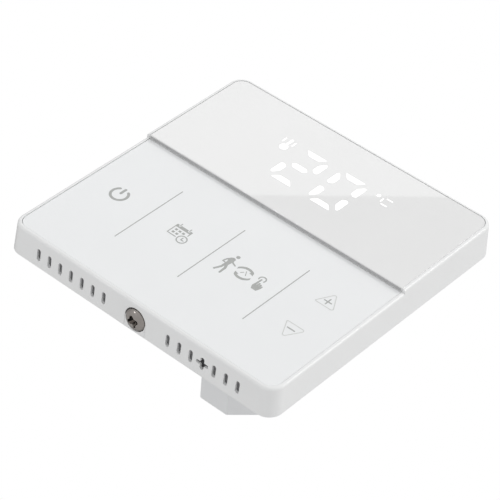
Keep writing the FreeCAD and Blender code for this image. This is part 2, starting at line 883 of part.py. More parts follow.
def room_sensor():
    """A thermistor bead behind the cross opening, on two leads from the board's lower edge."""
    body = new_body("room_sensor")
    body.AllowCompound = True
    across = vent_x(1, CROSS_VENT)
    bead_radius = as_length(1.1)
    lead_depth = BOARD_BACK - 0.25
    bead_low = as_length(-40.2)
    bead_high = as_length(-38.0)
    add(body, "XY", bead_low, bead_high, [circle(across, -lead_depth, bead_radius)])
    round_edges(body, as_length(0.9), lambda edge, middle: True)
    leads = [circle(across + offset, -lead_depth, as_length(0.25)) for offset in (-0.55, 0.55)]
    add(body, "XY", bead_high - 1.0, size("board_low") + 2.5, leads)
    return body


def screws_group(label, places, seat, direction, head_radius, head_height, shank_radius, length):
    """Several screws along Y in one node.  The head stands off the seat towards +Y if direction is -1."""
    body = new_body(label)
    body.AllowCompound = True
    for across, up in places:
        head_end = seat - direction * head_height
        tip = seat + direction * length
        points = [(0.0, head_end), (head_radius, head_end), (head_radius, seat), (shank_radius, seat),
                  (shank_radius, tip), (0.0, tip)]
        turned(body, "XY", up, (across, 0.0), points)
    return body


# Lock screw

def ring(depth, outer, inner):
    """Two circles about the lock screw's axis."""
    return [circle(as_length(0.0), depth, radius) for radius in (outer, inner)]


def lock_parts():
    """The pan head screw that clamps the lower edge, its washer and the nut in the plate's tab."""
    depth = -size("lock_depth")
    seat = size("lock_recess_top") - size("lock_clearance")
    underside = seat - size("washer_thick")
    head_low = underside - size("lock_head_height")
    radius = size("lock_head_radius")
    screw = new_body("lock_screw")
    shank = size("lock_shank_radius")
    tip = size("lock_tip")
    bevel = size("lock_point")
    points = [(0.0, head_low), (radius * 0.62, head_low), (radius, head_low + size("lock_head_height") / 2),
              (radius, underside), (shank, underside), (shank, tip - bevel), (shank - bevel, tip), (0.0, tip)]
    turned(screw, "YZ", as_length(0.0), (depth, 0.0), points)
    arm = size("cross_arm")
    width = size("cross_arm_width")
    for across, up in ((arm, width), (width, arm)):
        outline = [centred(as_length(0.0), depth, across, up)]
        cut(screw, "XY", head_low - 1.0, head_low + size("cross_recess_depth"), outline)
    washer = new_body("lock_washer")
    add(washer, "XY", underside, seat, ring(depth, size("washer_radius"), size("washer_hole")))
    nut = new_body("clinch_nut")
    sleeve = ring(depth, size("nut_radius"), size("lock_hole_radius"))
    add(nut, "XY", size("plate_low"), size("nut_top"), sleeve)


# Base

def wall_plate():
    """The pressed steel plate: wall slots, two hooks at the top and a threaded tab at the bottom."""
    body = new_body("wall_plate")
    half = size("plate_half")
    low = size("plate_low")
    thick = size("plate_thick")
    add(body, "XZ", as_length(0.0), thick, [rectangle(-half, half, low, half)])
    round_edges(body, as_length(2.0), lambda edge, middle: along_y(edge))
    notch = rectangle(-size("tab_notch_half"), size("tab_notch_half"), low, size("tab_notch_top"))
    opening = rectangle(-size("plate_opening_x"), size("plate_opening_x"), -size("plate_opening_z"),
                        size("plate_opening_z"))
    slots = [slot(side * size("mount_half"), as_length(0.0), size("mount_slot_length"),
                  size("mount_slot_width"), upright=False) for side in (-1, 1)]
    corners = corner_places("lid_screw_x", "lid_screw_z")
    screws = [circle(*place, size("lid_hole_radius")) for place in corners]
    cut(body, "XZ", as_length(0.0), thick, [opening, notch])
    cut(body, "XZ", as_length(0.0), thick, slots + screws)
    tab = rectangle(-size("tab_front"), as_length(0.0), size("tab_low"), low)
    add(body, "YZ", -size("tab_half"), size("tab_half"), [tab])
    thread = circle(as_length(0.0), -size("lock_depth"), size("lock_hole_radius"))
    cut(body, "XY", size("tab_low"), low, [thread])
    lip_back = -size("hook_lip_back")
    lip_front = -size("hook_lip_front")
    hook = polygon([
        (0.0, half - 1.0), (0.0, size("hook_floor_high")), (lip_back, size("hook_floor_high")),
        (lip_back, size("hook_lip_high")), (lip_front, size("hook_lip_high")),
        (lip_front, size("hook_floor_low")), (-thick, size("hook_floor_low")), (-thick, half - 1.0)])
    for side in (-1, 1):
        start = side * size("hook_x") - size("hook_half")
        add(body, "YZ", start, start + size("hook_half") * 2, [hook])
    return body


def housing_outline(inset):
    """The outline of the housing with its lower lobe, drawn in by an inset."""
    left = -size("housing_half_x") + inset
    right = size("housing_half_x") - inset
    low = -size("housing_half_z") + inset
    high = size("housing_half_z") - inset
    lobe_left = size("lobe_left") + inset
    lobe_low = size("lobe_low") + inset
    run = size("lobe_chamfer") - inset * (2 - math.sqrt(2))
    return polygon([(left, low), (lobe_left, low), (lobe_left, lobe_low), (right - run, lobe_low),
                    (right, lobe_low + run), (right, high), (left, high)])


def base_housing():
    """The box that goes into the wall, open to the front, with holes for wires and screwdriver."""
    body = new_body("base_housing")
    depth = size("housing_depth")
    add(body, "XZ", -depth, as_length(0.0), [housing_outline(as_length(0.0))])
    round_edges(body, size("housing_round"), lambda edge, middle: middle.y > 1.0)
    cut(body, "XZ", -HOUSING_FLOOR, as_length(0.0), [housing_outline(size("housing_wall"))])
    places = corner_places("lid_screw_x", "lid_screw_z")
    bosses = [circle(*place, size("lid_boss_radius")) for place in places]
    add(body, "XZ", -HOUSING_FLOOR, as_length(0.0), bosses)
    holes = [circle(*place, size("lid_shank_radius") + size("screw_gap")) for place in places]
    cut(body, "XZ", -size("lid_screw_length"), as_length(0.0), holes)
    inner = size("housing_half_x") - size("housing_wall")
    rib_x = inner - size("rib_width") / 2 + 0.2
    ribs = [centred(side * rib_x, as_length(0.0), size("rib_width"), size("rib_length")) for side in (-1, 1)]
    add(body, "XZ", -HOUSING_FLOOR, -POWER_BACK, ribs)
    drivers = [circle(terminal_x(number), size("terminal_level"), size("driver_hole_radius"))
               for number in range(TERMINALS)]
    cut(body, "XZ", -depth, -HOUSING_FLOOR, drivers)
    wires = [rectangle(terminal_x(number) - size("wire_half"), terminal_x(number) + size("wire_half"),
                       size("chamber_front"), size("wire_back")) for number in range(TERMINALS)]
    cut(body, "XY", size("housing_half_z") - size("housing_wall") - 0.1, as_length(FAR), wires)
    return body


def base_lid():
    """The cover over the housing, screwed down through the steel plate."""
    body = new_body("base_lid")
    across = size("lid_half_x")
    up = size("lid_half_z")
    back = size("plate_thick")
    add(body, "XZ", back, LID_FRONT, [rectangle(-across, across, -up, up)])
    round_edges(body, as_length(2.0), lambda edge, middle: along_y(edge))
    posts = [centred(as_length(x), as_length(11.0), as_length(2.4), as_length(2.4)) for x in (-16.0, 16.0)]
    add(body, "XZ", -size("power_front"), back, posts)
    reach_x = size("socket_opening_x")
    reach_z = size("socket_opening_z")
    level = size("plug_level")
    cut(body, "XZ", back, LID_FRONT, [rectangle(-reach_x, reach_x, level - reach_z, level + reach_z)])
    places = corner_places("lid_screw_x", "lid_screw_z")
    cut(body, "XZ", back, LID_FRONT, [circle(*place, size("lid_hole_radius")) for place in places])
    seat = LID_FRONT - size("lid_head_height")
    cut(body, "XZ", seat, LID_FRONT, [circle(*place, size("lid_head_radius") + 0.1) for place in places])
    screws_group("lid_screws", places, -seat, 1, size("lid_head_radius"), size("lid_head_height"),
                 size("lid_shank_radius"), size("lid_screw_length") + seat - 0.5)


def power_board():
    """The power board with its parts."""
    board = new_body("power_pcb")
    half_x = size("power_half_x")
    half_z = size("power_half_z")
    front = -size("power_front")
    back = -POWER_BACK
    add(board, "XZ", back, front, [rectangle(-half_x, half_x, -half_z, half_z)])
    add(board, "XZ", back, front, [rectangle(12.4, 18.6, -27.4, -half_z + 0.5)])
    corner = size("power_corner") * 2
    corners = [centred(side * half_x, level * half_z, corner, corner) for side, level in CORNERS]
    cut(board, "XZ", back, front, corners)
    base = POWER_BACK
    block("film_capacitor", -18.0, -5.0, base, base + 7.2, 11.5, 17.5)
    block("bridge_rectifier", 10.0, 16.0, base, base + 2.6, 11.5, 17.5)
    block("regulator_chip", 13.0, 18.0, base, base + 1.8, 2.0, 6.5)
    cans = [drum_feature(f"capacitor_can_{number}", x, 2.5, as_length(3.1), base, base + 11.0)
            for number, x in enumerate((-14.0, -6.8))]
    group("electrolytic_capacitors", cans)
    named("fuse", drum_feature("fuse_drum", 15.5, -24.9, as_length(2.2), base, base + 7.0))
    varistor = new_body("varistor")
    face = circle(size("varistor_x"), base + size("varistor_radius") + 0.1, size("varistor_radius"))
    add(varistor, "XY", size("varistor_low"), size("varistor_high"), [face])
    round_edges(varistor, as_length(0.8), lambda edge, middle: True)
    transformer(base)
    pin_header()


def transformer(base):
    """A small transformer: a ferrite frame round a taped winding."""
    core = new_body("transformer_core")
    left, right, low, high = 2.0, 18.5, -18.0, -3.0
    add(core, "XZ", -base - 15.0, -base - 2.5, [rectangle(left, right, low + 4.0, high - 4.0)])
    cut(core, "XZ", -base - 12.2, -base - 5.3, [rectangle(left + 2.8, right - 2.8, low, high)])
    add(core, "XZ", -base - 12.3, -base - 5.2, [rectangle(8.0, 12.5, low + 4.0, high - 4.0)])
    winding = new_body("transformer_winding")
    add(winding, "XZ", -base - 12.1, -base - 5.4, [rectangle(left + 2.9, right - 2.9, low, high)])
    cut(winding, "XZ", -base - 12.1, -base - 5.4, [rectangle(7.9, 12.6, low + 3.9, high - 3.9)])
    frame = new_body("transformer_bobbin")
    feet = [rectangle(left, right, low, low + 3.8), rectangle(left, right, high - 3.8, high)]
    add(frame, "XZ", -base - 5.3, -base, feet)
    add(frame, "XZ", -base - 2.4, -base, [rectangle(left, right, low + 3.7, high - 3.7)])


def pin_header():
    """The row of pins that joins the power board to the display board."""
    body = new_body("pin_header")
    half = size("plug_half")
    level = size("plug_level")
    front = -size("plug_top")
    strip = rectangle(-half, half, level - size("plug_half_z"), level + size("plug_half_z"))
    add(body, "XZ", -size("power_front"), front, [strip])
    count = int(size("plug_pins").number)
    pins = []
    for number in range(count):
        across = (number - (count - 1) / 2) * size("plug_pitch")
        pins.append(centred(across, level, size("pin_side"), size("pin_side")))
    add(body, "XZ", front, size("pin_tip"), pins)
    return body


# Terminals

def terminal_block():
    """The moulded block with six chambers, open upwards for the wires."""
    body = new_body("terminal_block")
    half = size("block_half")
    sides = rectangle(-half, half, size("block_low"), size("block_high"))
    add(body, "XZ", -HOUSING_FLOOR, -size("block_front"), [sides])
    chambers = []
    outlets = []
    pockets = []
    shanks = []
    for number in range(TERMINALS):
        across = terminal_x(number)
        reach = size("chamber_half")
        left, right = across - reach, across + reach
        chambers.append(rectangle(left, right, size("chamber_front"), size("chamber_back")))
        gap = size("bar_slot_gap")
        bar = size("bar_half") + gap
        bar_back = size("bar_front") + size("bar_thick") + gap
        outlets.append(rectangle(across - bar, across + bar, size("bar_front") - gap, bar_back))
        pockets.append(circle(across, size("terminal_level"), size("head_pocket_radius")))
        shanks.append(circle(across, size("terminal_level"), size("terminal_shank_radius") + 0.15))
    cut(body, "XY", size("chamber_low"), as_length(FAR), chambers)
    cut(body, "XY", size("block_low"), size("chamber_low"), outlets)
    cut(body, "XZ", -HOUSING_FLOOR, -size("head_pocket_front"), pockets)
    cut(body, "XZ", -size("head_pocket_front"), -size("chamber_back"), shanks)
    return body


def contact_bars():
    """The brass bars of the six terminals, each with a pin down to the power board."""
    body = new_body("contact_bars")
    body.AllowCompound = True
    pin = size("bar_pin")
    for number in range(TERMINALS):
        across = terminal_x(number)
        reach = size("bar_half")
        front = size("bar_front")
        upright = [rectangle(across - reach, across + reach, size("bar_low"), size("bar_high"))]
        add(body, "XZ", -front - size("bar_thick"), -front, upright)
        foot = [rectangle(across - pin / 2, across + pin / 2, size("bar_low"), size("bar_low") + pin)]
        add(body, "XZ", -front, -POWER_BACK, foot)
    return body


def terminal_cage(number):
    """One steel cage that rises on its screw and clamps a wire against the bar."""
    body = new_body(f"terminal_cage_{number + 1}")
    across = terminal_x(number)
    reach = size("cage_half")
    wall = size("cage_wall")
    front = size("cage_front")
    back = front + size("cage_depth")
    outer = [rectangle(across - reach, across + reach, front, back)]
    add(body, "XY", size("cage_low"), size("cage_high"), outer)
    inner = [rectangle(across - reach + wall, across + reach - wall, front + wall, back - wall)]
    cut(body, "XY", size("cage_low"), size("cage_high"), inner)
    thread_radius = size("terminal_shank_radius") + size("terminal_thread_gap")
    cut(body, "XZ", -back, -back + wall, [circle(across, size("terminal_level"), thread_radius)])
    return body


def terminal_screw(number):
    """One slotted terminal screw, held in the block behind its cage."""
    body = new_body(f"terminal_screw_{number + 1}")
    across = terminal_x(number)
    head = size("terminal_head_radius")
    shank = size("terminal_shank_radius")
    head_front = size("terminal_head_front")
    head_back = size("terminal_head_back")
    tip = size("terminal_tip")
    points = [(0.0, tip), (shank, tip), (shank, head_front), (head, head_front), (head, head_back),
              (0.0, head_back)]
    turned(body, "XY", size("terminal_level"), (across, 0.0), points)
    driver = [centred(across, size("terminal_level"), head * 3, size("driver_slot_width"))]
    cut(body, "XZ", -head_back, -head_back + size("driver_slot_depth"), driver)
    return body


# Relay

def relay():
    """The relay: floor, cover, coil on its bobbin, yoke with core, fixed contact and armature."""
    wall = size("relay_wall")
    gap = as_length(0.1)
    left, right = size("relay_left"), size("relay_right")
    low, high = size("relay_low"), size("relay_high")
    floor_top = size("relay_floor_top")
    block("relay_base", left + wall + gap, right - wall - gap, POWER_BACK, floor_top, low + wall + gap,
          high - wall - gap)
    cover = new_body("relay_cover")
    add(cover, "XZ", -size("relay_top"), -POWER_BACK, [rectangle(left, right, low, high)])
    round_edges(cover, as_length(0.6), lambda edge, middle: middle.y > POWER_BACK.number + 0.5)
    cut(cover, "XZ", -size("relay_top") + wall, -POWER_BACK,
        [rectangle(left + wall, right - wall, low + wall, high - wall)])
    relay_magnet(floor_top)
    relay_fixed_contact(floor_top)
    relay_armature()


def relay_magnet(floor_top):
    """Yoke with core, bobbin and winding."""
    centre = (size("coil_x"), size("relay_middle"))
    thick = size("yoke_thick")
    face = size("pole_face")
    low = size("relay_middle") - size("yoke_half")
    high = size("relay_middle") + size("yoke_half")
    yoke = new_body("relay_yoke")
    right = size("yoke_right")
    add(yoke, "XZ", -floor_top - thick, -floor_top, [rectangle(size("yoke_left"), right, low, high)])
    add(yoke, "XZ", -face, -floor_top - thick, [rectangle(right - thick, right, low, high)])
    add(yoke, "XZ", -face, -floor_top - thick, [circle(*centre, size("core_radius"))])
    add(yoke, "XZ", -face, -size("pole_front"), [circle(*centre, size("pole_radius"))])
    bobbin = new_body("relay_bobbin")
    gap = size("part_gap")
    bottom = size("bobbin_low")
    top = size("bobbin_high")
    flange = size("bobbin_flange")
    bore = size("core_radius") + gap
    for start, end, radius in ((bottom, bottom + flange, size("bobbin_radius")),
                               (bottom + flange, top - flange, size("bobbin_hub")),
                               (top - flange, top, size("bobbin_radius"))):
        add(bobbin, "XZ", -end, -start, [circle(*centre, radius)])
    cut(bobbin, "XZ", -top, -bottom, [circle(*centre, bore)])
    winding = new_body("relay_winding")
    rings = [circle(*centre, size("winding_radius")), circle(*centre, size("bobbin_hub") + gap)]
    add(winding, "XZ", -top + flange + gap, -bottom - flange - gap, rings)


def relay_fixed_contact(floor_top):
    """The fixed strip with its contact button."""
    body = new_body("relay_contact")
    left = size("strip_left")
    middle = size("relay_middle")
    strip = rectangle(left, left + size("strip_thick"), middle - 2.0, middle + 2.0)
    add(body, "XZ", -size("strip_top"), -floor_top, [strip])
    button = [circle(size("contact_level"), middle, size("contact_radius"))]
    add(body, "YZ", left - size("contact_height"), left, button)
    return body


def relay_armature():
    """The armature with the moving blade, standing open by its rest angle."""
    body = new_body("relay_armature")
    middle = size("relay_middle")
    under = size("pole_face") + size("armature_gap")
    over = under + size("armature_thick")
    half = size("armature_half")
    blade_right = size("blade_left") + size("blade_thick")
    blade = size("blade_half")
    pivot = size("armature_pivot")
    plate = rectangle(size("armature_left"), pivot, middle - half, middle + half)
    add(body, "XZ", -over, -under, [plate])
    bridge = rectangle(pivot - 1.0, blade_right, middle - blade, middle + blade)
    add(body, "XZ", -over, -under - 0.3, [bridge])
    leg = rectangle(size("blade_left"), blade_right, middle - blade, middle + blade)
    add(body, "XZ", -over, -size("blade_end"), [leg])
    button = [circle(size("contact_level"), middle, size("contact_radius"))]
    add(body, "YZ", blade_right, blade_right + size("contact_height") - 0.02, button)
    centre = FreeCAD.Vector(pivot.number, under.number, middle.number)
    rest_angle = FreeCAD.Rotation(FreeCAD.Vector(0, 0, 1), -SIZES["armature_open"])
    body.Placement = FreeCAD.Placement(FreeCAD.Vector(), rest_angle, centre)
    return body


def check_and_export():
    """Check every object, then write one file for each sub-part."""
    DOCUMENT.recompute()
    for feature in DOCUMENT.Objects:
        check_state(feature)
    for part in SUBPARTS:
        if part.Shape.isNull() or not part.Shape.isValid():
            raise RuntimeError(f"{part.Label} has no valid shape")
    os.makedirs("parts", exist_ok=True)
    for part in SUBPARTS:
        part.Shape.exportStep(f"parts/{part.Label}.step")
        box = part.Shape.BoundBox
        print(f"{part.Label:24s} solids {len(part.Shape.Solids):2d}  x {box.XMin:7.2f} {box.XMax:7.2f}"
              f"  y {box.YMin:7.2f} {box.YMax:7.2f}  z {box.ZMin:7.2f} {box.ZMax:7.2f}")


fill_sheet()
front_shell()
touch_panel()
display_lens()
display_parts()
display_board()
lock_parts()
wall_plate()
base_housing()
base_lid()
power_board()
terminal_block()
contact_bars()
for terminal in range(TERMINALS):
    terminal_cage(terminal)
    terminal_screw(terminal)
relay()
check_and_export()
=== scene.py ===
import json
import math

import bmesh
import bpy
from mathutils import Matrix, Quaternion, Vector
from mathutils.geometry import delaunay_2d_cdt


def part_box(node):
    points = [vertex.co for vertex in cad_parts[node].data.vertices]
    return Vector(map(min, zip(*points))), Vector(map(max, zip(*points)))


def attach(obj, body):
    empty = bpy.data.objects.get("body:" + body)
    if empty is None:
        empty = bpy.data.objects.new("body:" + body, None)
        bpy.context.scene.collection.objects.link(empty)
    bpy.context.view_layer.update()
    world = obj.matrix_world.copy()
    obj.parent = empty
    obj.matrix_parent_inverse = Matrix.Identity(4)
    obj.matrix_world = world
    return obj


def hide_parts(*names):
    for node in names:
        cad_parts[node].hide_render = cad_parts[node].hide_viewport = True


# Wall thermostat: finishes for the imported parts, and the printed signs, lit segments, lock screw and small
# electrical details on them.  Blender's unit is the metre.  Shapes drawn in this script are in millimetres
# in the part's frame: x to the right, z up, and the front looks along -y.

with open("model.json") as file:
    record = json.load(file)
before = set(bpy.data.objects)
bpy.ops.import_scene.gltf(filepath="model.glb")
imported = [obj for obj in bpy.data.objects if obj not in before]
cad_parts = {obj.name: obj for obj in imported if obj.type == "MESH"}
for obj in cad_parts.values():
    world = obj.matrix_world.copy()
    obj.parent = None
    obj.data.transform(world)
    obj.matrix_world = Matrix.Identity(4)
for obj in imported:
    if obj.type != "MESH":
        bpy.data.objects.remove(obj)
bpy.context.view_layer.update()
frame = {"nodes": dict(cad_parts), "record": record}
NODES = frame["nodes"]
MM = 0.001


# Finishes

class Finish:
    """A procedural material whose colour, roughness and relief vary in object space."""

    def __init__(self, name, color, roughness, sockets=None):
        self.material = bpy.data.materials.new(name)
        self.material.use_nodes = True
        self.nodes = self.material.node_tree.nodes
        self.links = self.material.node_tree.links
        self.shader = self.nodes["Principled BSDF"]
        self.place = self.nodes.new("ShaderNodeTexCoord").outputs["Object"]
        self.relief = None
        self.shader.inputs["Base Color"].default_value = (*color, 1.0)
        self.shader.inputs["Roughness"].default_value = roughness
        for socket, value in (sockets or {}).items():
            self.shader.inputs[socket].default_value = value

    def stretched(self, stretch):
        """Object coordinates scaled along each axis."""
        mapping = self.nodes.new("ShaderNodeMapping")
        mapping.inputs["Scale"].default_value = stretch
        self.links.new(self.place, mapping.inputs["Vector"])
        return mapping.outputs["Vector"]

    def noise(self, grain, detail=2.0, stretch=(1.0, 1.0, 1.0)):
        """Noise with grains of about the given size in millimetres."""
        node = self.nodes.new("ShaderNodeTexNoise")
        node.inputs["Scale"].default_value = 1.0 / (grain * MM)
        node.inputs["Detail"].default_value = detail
        self.links.new(self.stretched(stretch), node.inputs["Vector"])
        return node.outputs["Fac"]

    def cells(self, grain):
        """A cell pattern with cells of about the given size in millimetres."""
        node = self.nodes.new("ShaderNodeTexVoronoi")
        node.inputs["Scale"].default_value = 1.0 / (grain * MM)
        self.links.new(self.place, node.inputs["Vector"])
        return node.outputs["Distance"]

    def bands(self, pitch, axis, wobble=0.0):
        """Regular bands along an axis, one for each pitch in millimetres."""
        node = self.nodes.new("ShaderNodeTexWave")
        node.bands_direction = axis
        node.inputs["Scale"].default_value = 2 * math.pi / (20.0 * pitch * MM)
        node.inputs["Distortion"].default_value = wobble
        self.links.new(self.place, node.inputs["Vector"])
        return node.outputs["Fac"]

    def ranged(self, source, low, high):
        """The middle of a texture's values spread between two numbers."""
        node = self.nodes.new("ShaderNodeMapRange")
        node.inputs["From Min"].default_value = 0.3
        node.inputs["From Max"].default_value = 0.7
        node.inputs["To Min"].default_value = low
        node.inputs["To Max"].default_value = high
        self.links.new(source, node.inputs["Value"])
        return node.outputs["Result"]

    def vary(self, socket, source, low, high):
        """Drive one number of the shader from a texture."""
        self.links.new(self.ranged(source, low, high), self.shader.inputs[socket])
        return self

    def tint(self, source, first, second):
        """Mix two colours by a texture."""
        node = self.nodes.new("ShaderNodeMix")
        node.data_type = "RGBA"
        colors = [socket for socket in node.inputs if socket.type == "RGBA"]
        colors[0].default_value = (*first, 1.0)
        colors[1].default_value = (*second, 1.0)
        factor = [socket for socket in node.inputs if socket.type == "VALUE"][0]
        self.links.new(self.ranged(source, 0.0, 1.0), factor)
        result = [socket for socket in node.outputs if socket.type == "RGBA"][0]
        self.links.new(result, self.shader.inputs["Base Color"])
        return self

    def bump(self, source, height):
        """Raise the surface by a texture, by up to the given height in millimetres."""
        node = self.nodes.new("ShaderNodeBump")
        node.inputs["Strength"].default_value = 1.0
        node.inputs["Distance"].default_value = height * MM
        self.links.new(source, node.inputs["Height"])
        if self.relief is not None:
            self.links.new(self.relief, node.inputs["Normal"])
        self.relief = node.outputs["Normal"]
        self.links.new(self.relief, self.shader.inputs["Normal"])
        return self


def close_to(color, share):
    """A colour a little darker than another."""
    return tuple(channel * share for channel in color)


def moulded(name, color, roughness, grain=0.25, height=0.0012, share=0.985, sockets=None):
    """Injection moulded plastic: a fine spark-eroded grain and a faint flow mottle."""
    finish = Finish(name, color, roughness, sockets)
    finish.tint(finish.noise(9.0, 3.0), close_to(color, share), color)
    finish.vary("Roughness", finish.noise(5.0, 3.0), roughness * 0.95, roughness * 1.06)
    finish.bump(finish.noise(grain, 3.0), height)
    return finish.bump(finish.noise(3.0), height * 0.6)


def glossy(name, color, roughness):
    """Smooth plastic or lacquer: very faint waviness, and dust-fine variation of the gloss."""
    finish = Finish(name, color, roughness)
    finish.tint(finish.noise(14.0, 2.0), close_to(color, 0.99), color)
    finish.vary("Roughness", finish.noise(6.0, 3.0), roughness * 0.95, roughness * 1.06)
    return finish.bump(finish.noise(16.0, 1.0), 0.001)


def rolled_metal(name, color, roughness, direction=(1.0, 1.0, 0.08)):
    """Sheet or wire metal: fine drawn lines, a soft plating mottle and small scuffs."""
    finish = Finish(name, color, roughness, {"Metallic": 1.0})
    finish.tint(finish.noise(3.0, 4.0), close_to(color, 0.86), color)
    finish.vary("Roughness", finish.noise(0.8, 4.0), roughness * 0.8, roughness * 1.25)
    finish.bump(finish.noise(0.12, 2.0, direction), 0.002)
    return finish.bump(finish.cells(2.2), 0.003)


def speckled(name, color, roughness, grain, depth):
    """A fired or dipped body with visible grains."""
    finish = Finish(name, color, roughness)
    finish.tint(finish.cells(grain), close_to(color, 0.7), color)
    finish.vary("Roughness", finish.noise(grain * 2, 3.0), roughness * 0.8, roughness * 1.2)
    return finish.bump(finish.noise(grain, 4.0), depth)


def wound(name, color, roughness, pitch, axis, height, sockets=None):
    """Wire or tape laid in turns."""
    finish = Finish(name, color, roughness, sockets)
    # The colour is darkest where the same bands lower the relief: painted shade in the grooves between the
    # turns.
    finish.tint(finish.bands(pitch, axis, 0.4), close_to(color, 0.6), color)
    finish.vary("Roughness", finish.noise(0.9, 3.0), roughness * 0.8, roughness * 1.2)
    return finish.bump(finish.bands(pitch, axis, 0.4), height)


def board(name, color):
    """Solder mask over copper: a faint weave under a smooth lacquer."""
    finish = Finish(name, color, 0.3, {"Coat Weight": 0.3, "Coat Roughness": 0.12})
    finish.tint(finish.noise(2.4, 2.0), close_to(color, 0.75), color)
    finish.vary("Roughness", finish.noise(0.6, 3.0), 0.24, 0.38)
    finish.bump(finish.bands(0.55, "X"), 0.002)
    return finish.bump(finish.bands(0.55, "Z"), 0.002)


def make_finishes():
    """One finish for each material slot of the record."""
    return {
        "shell_plastic": moulded("shell_plastic", (0.885, 0.89, 0.892), 0.19),
        "touch_plate": glossy("touch_plate", (0.88, 0.892, 0.9), 0.3),
        "display_plate": glossy("display_plate", (0.845, 0.847, 0.847), 0.015),
        "light_white": glossy("light_white", (0.9, 0.9, 0.89), 0.4),
        "housing_plastic": moulded("housing_plastic", (0.84, 0.85, 0.86), 0.42, 0.35, 0.006),
        "plated_steel": rolled_metal("plated_steel", (0.66, 0.67, 0.68), 0.34),
        "screw_steel": rolled_metal("screw_steel", (0.4, 0.37, 0.35), 0.2, (1.0, 1.0, 1.0)),
        "bright_brass": rolled_metal("bright_brass", (0.8, 0.62, 0.33), 0.26),
        "board_green": board("board_green", (0.03, 0.2, 0.1)),
        "chip_black": moulded("chip_black", (0.03, 0.03, 0.032), 0.5, 0.12, 0.004, 0.8),
        "shield_metal": rolled_metal("shield_metal", (0.75, 0.76, 0.77), 0.3, (0.08, 1.0, 1.0)),
        "connector_black": moulded("connector_black", (0.045, 0.045, 0.045), 0.45, 0.2, 0.005, 0.85),
        "foam_grey": speckled("foam_grey", (0.22, 0.22, 0.23), 0.85, 0.3, 0.03),
        "sensor_epoxy": glossy("sensor_epoxy", (0.03, 0.035, 0.045), 0.12),
        "terminal_green": moulded("terminal_green", (0.06, 0.34, 0.18), 0.42, 0.25, 0.005, 0.9),
        "capacitor_yellow": moulded("capacitor_yellow", (0.8, 0.6, 0.08), 0.35, 0.3, 0.004, 0.92),
        "capacitor_sleeve": glossy("capacitor_sleeve", (0.03, 0.035, 0.08), 0.28),
        "varistor_blue": speckled("varistor_blue", (0.05, 0.16, 0.46), 0.28, 0.5, 0.008),
        "ferrite_grey": speckled("ferrite_grey", (0.1, 0.1, 0.105), 0.6, 0.2, 0.01),
        "tape_yellow": wound("tape_yellow", (0.86, 0.68, 0.12), 0.25, 1.6, "X", 0.02),
        "bobbin_nylon": moulded("bobbin_nylon", (0.78, 0.76, 0.7), 0.42, 0.3, 0.004, 0.94),
        "copper_wire": wound("copper_wire", (0.72, 0.33, 0.16), 0.3, 0.22, "Y", 0.05, {"Metallic": 1.0}),
        "relay_blue": moulded("relay_blue", (0.06, 0.2, 0.48), 0.32, 0.3, 0.004, 0.9),
    }


FINISHES = make_finishes()


def finish_nodes():
    """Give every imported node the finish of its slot."""
    for part in frame["record"]["subparts"]:
        data = NODES[part["node"]].data
        data.materials.clear()
        data.materials.append(FINISHES[part["material_slot"]].material)


def ink_finish():
    """Grey printing ink: matt, with uneven cover."""
    finish = Finish("grey_ink", (0.42, 0.43, 0.42), 0.5)
    finish.tint(finish.noise(0.6, 3.0), (0.4, 0.41, 0.4), (0.46, 0.47, 0.46))
    return finish.bump(finish.noise(0.2), 0.002)


def pale_ink_finish():
    """The lighter ink of the two triangles."""
    finish = Finish("pale_ink", (0.66, 0.67, 0.66), 0.5)
    finish.tint(finish.noise(0.6, 3.0), (0.64, 0.65, 0.64), (0.7, 0.71, 0.7))
    return finish.bump(finish.noise(0.2), 0.002)


def glow_finish():
    """A lit segment: the white light source seen through the plate."""
    sockets = {"Emission Color": (1.0, 1.0, 0.99, 1.0), "Emission Strength": 0.6}
    finish = Finish("segment_glow", (0.92, 0.92, 0.91), 0.08, sockets)
    finish.vary("Roughness", finish.noise(1.2, 4.0), 0.06, 0.1)
    return finish.bump(finish.noise(12.0), 0.002)


# Flat shapes.  An outline is a list of (x, z) points in millimetres.

def disc(centre, radius, steps=48):
    """A full circle."""
    return arc(centre, radius, 0.0, 360.0 - 360.0 / steps, steps)


def arc(centre, radius, start, end, steps=24):
    """Points along an arc, with its angles in degrees from +x, counterclockwise."""
    points = []
    for number in range(steps):
        angle = math.radians(start + (end - start) * number / (steps - 1))
        points.append((centre[0] + radius * math.cos(angle), centre[1] + radius * math.sin(angle)))
    return points


def box_outline(centre, width, height):
    """A rectangle about its middle."""
    x, z = centre
    return [(x - width / 2, z - height / 2), (x + width / 2, z - height / 2),
            (x + width / 2, z + height / 2), (x - width / 2, z + height / 2)]


def stroke(points, width, end_width=None, closed=False):
    """Outlines that together make a line with round ends, which may widen or narrow along its way."""
    last = width if end_width is None else end_width
    count = len(points)
    widths = [width + (last - width) * number / max(count - 1, 1) for number in range(count)]
    outlines = [disc(point, size / 2, 24) for point, size in zip(points, widths)]
    pairs = range(count if closed else count - 1)
    for number in pairs:
        after = (number + 1) % count
        first = Vector(points[number])
        second = Vector(points[after])
        side = (second - first).normalized()
        side = Vector((-side.y, side.x)) / 2
        corners = [first + side * widths[number], first - side * widths[number],
                   second - side * widths[after], second + side * widths[after]]
        outlines.append([tuple(corner) for corner in corners])
    return outlines


def counterclockwise(outline):
    """The outline with its points in counterclockwise order."""
    area = 0.0
    for (x, z), (next_x, next_z) in zip(outline, outline[1:] + outline[:1]):
        area += x * next_z - next_x * z
    return outline if area > 0 else outline[::-1]


def finished_mesh(shape, name):
    """A mesh made from a bmesh, with its normals outwards."""
    bmesh.ops.recalc_face_normals(shape, faces=shape.faces[:])
    mesh = bpy.data.meshes.new(name)
    shape.to_mesh(mesh)
    shape.free()
    return mesh


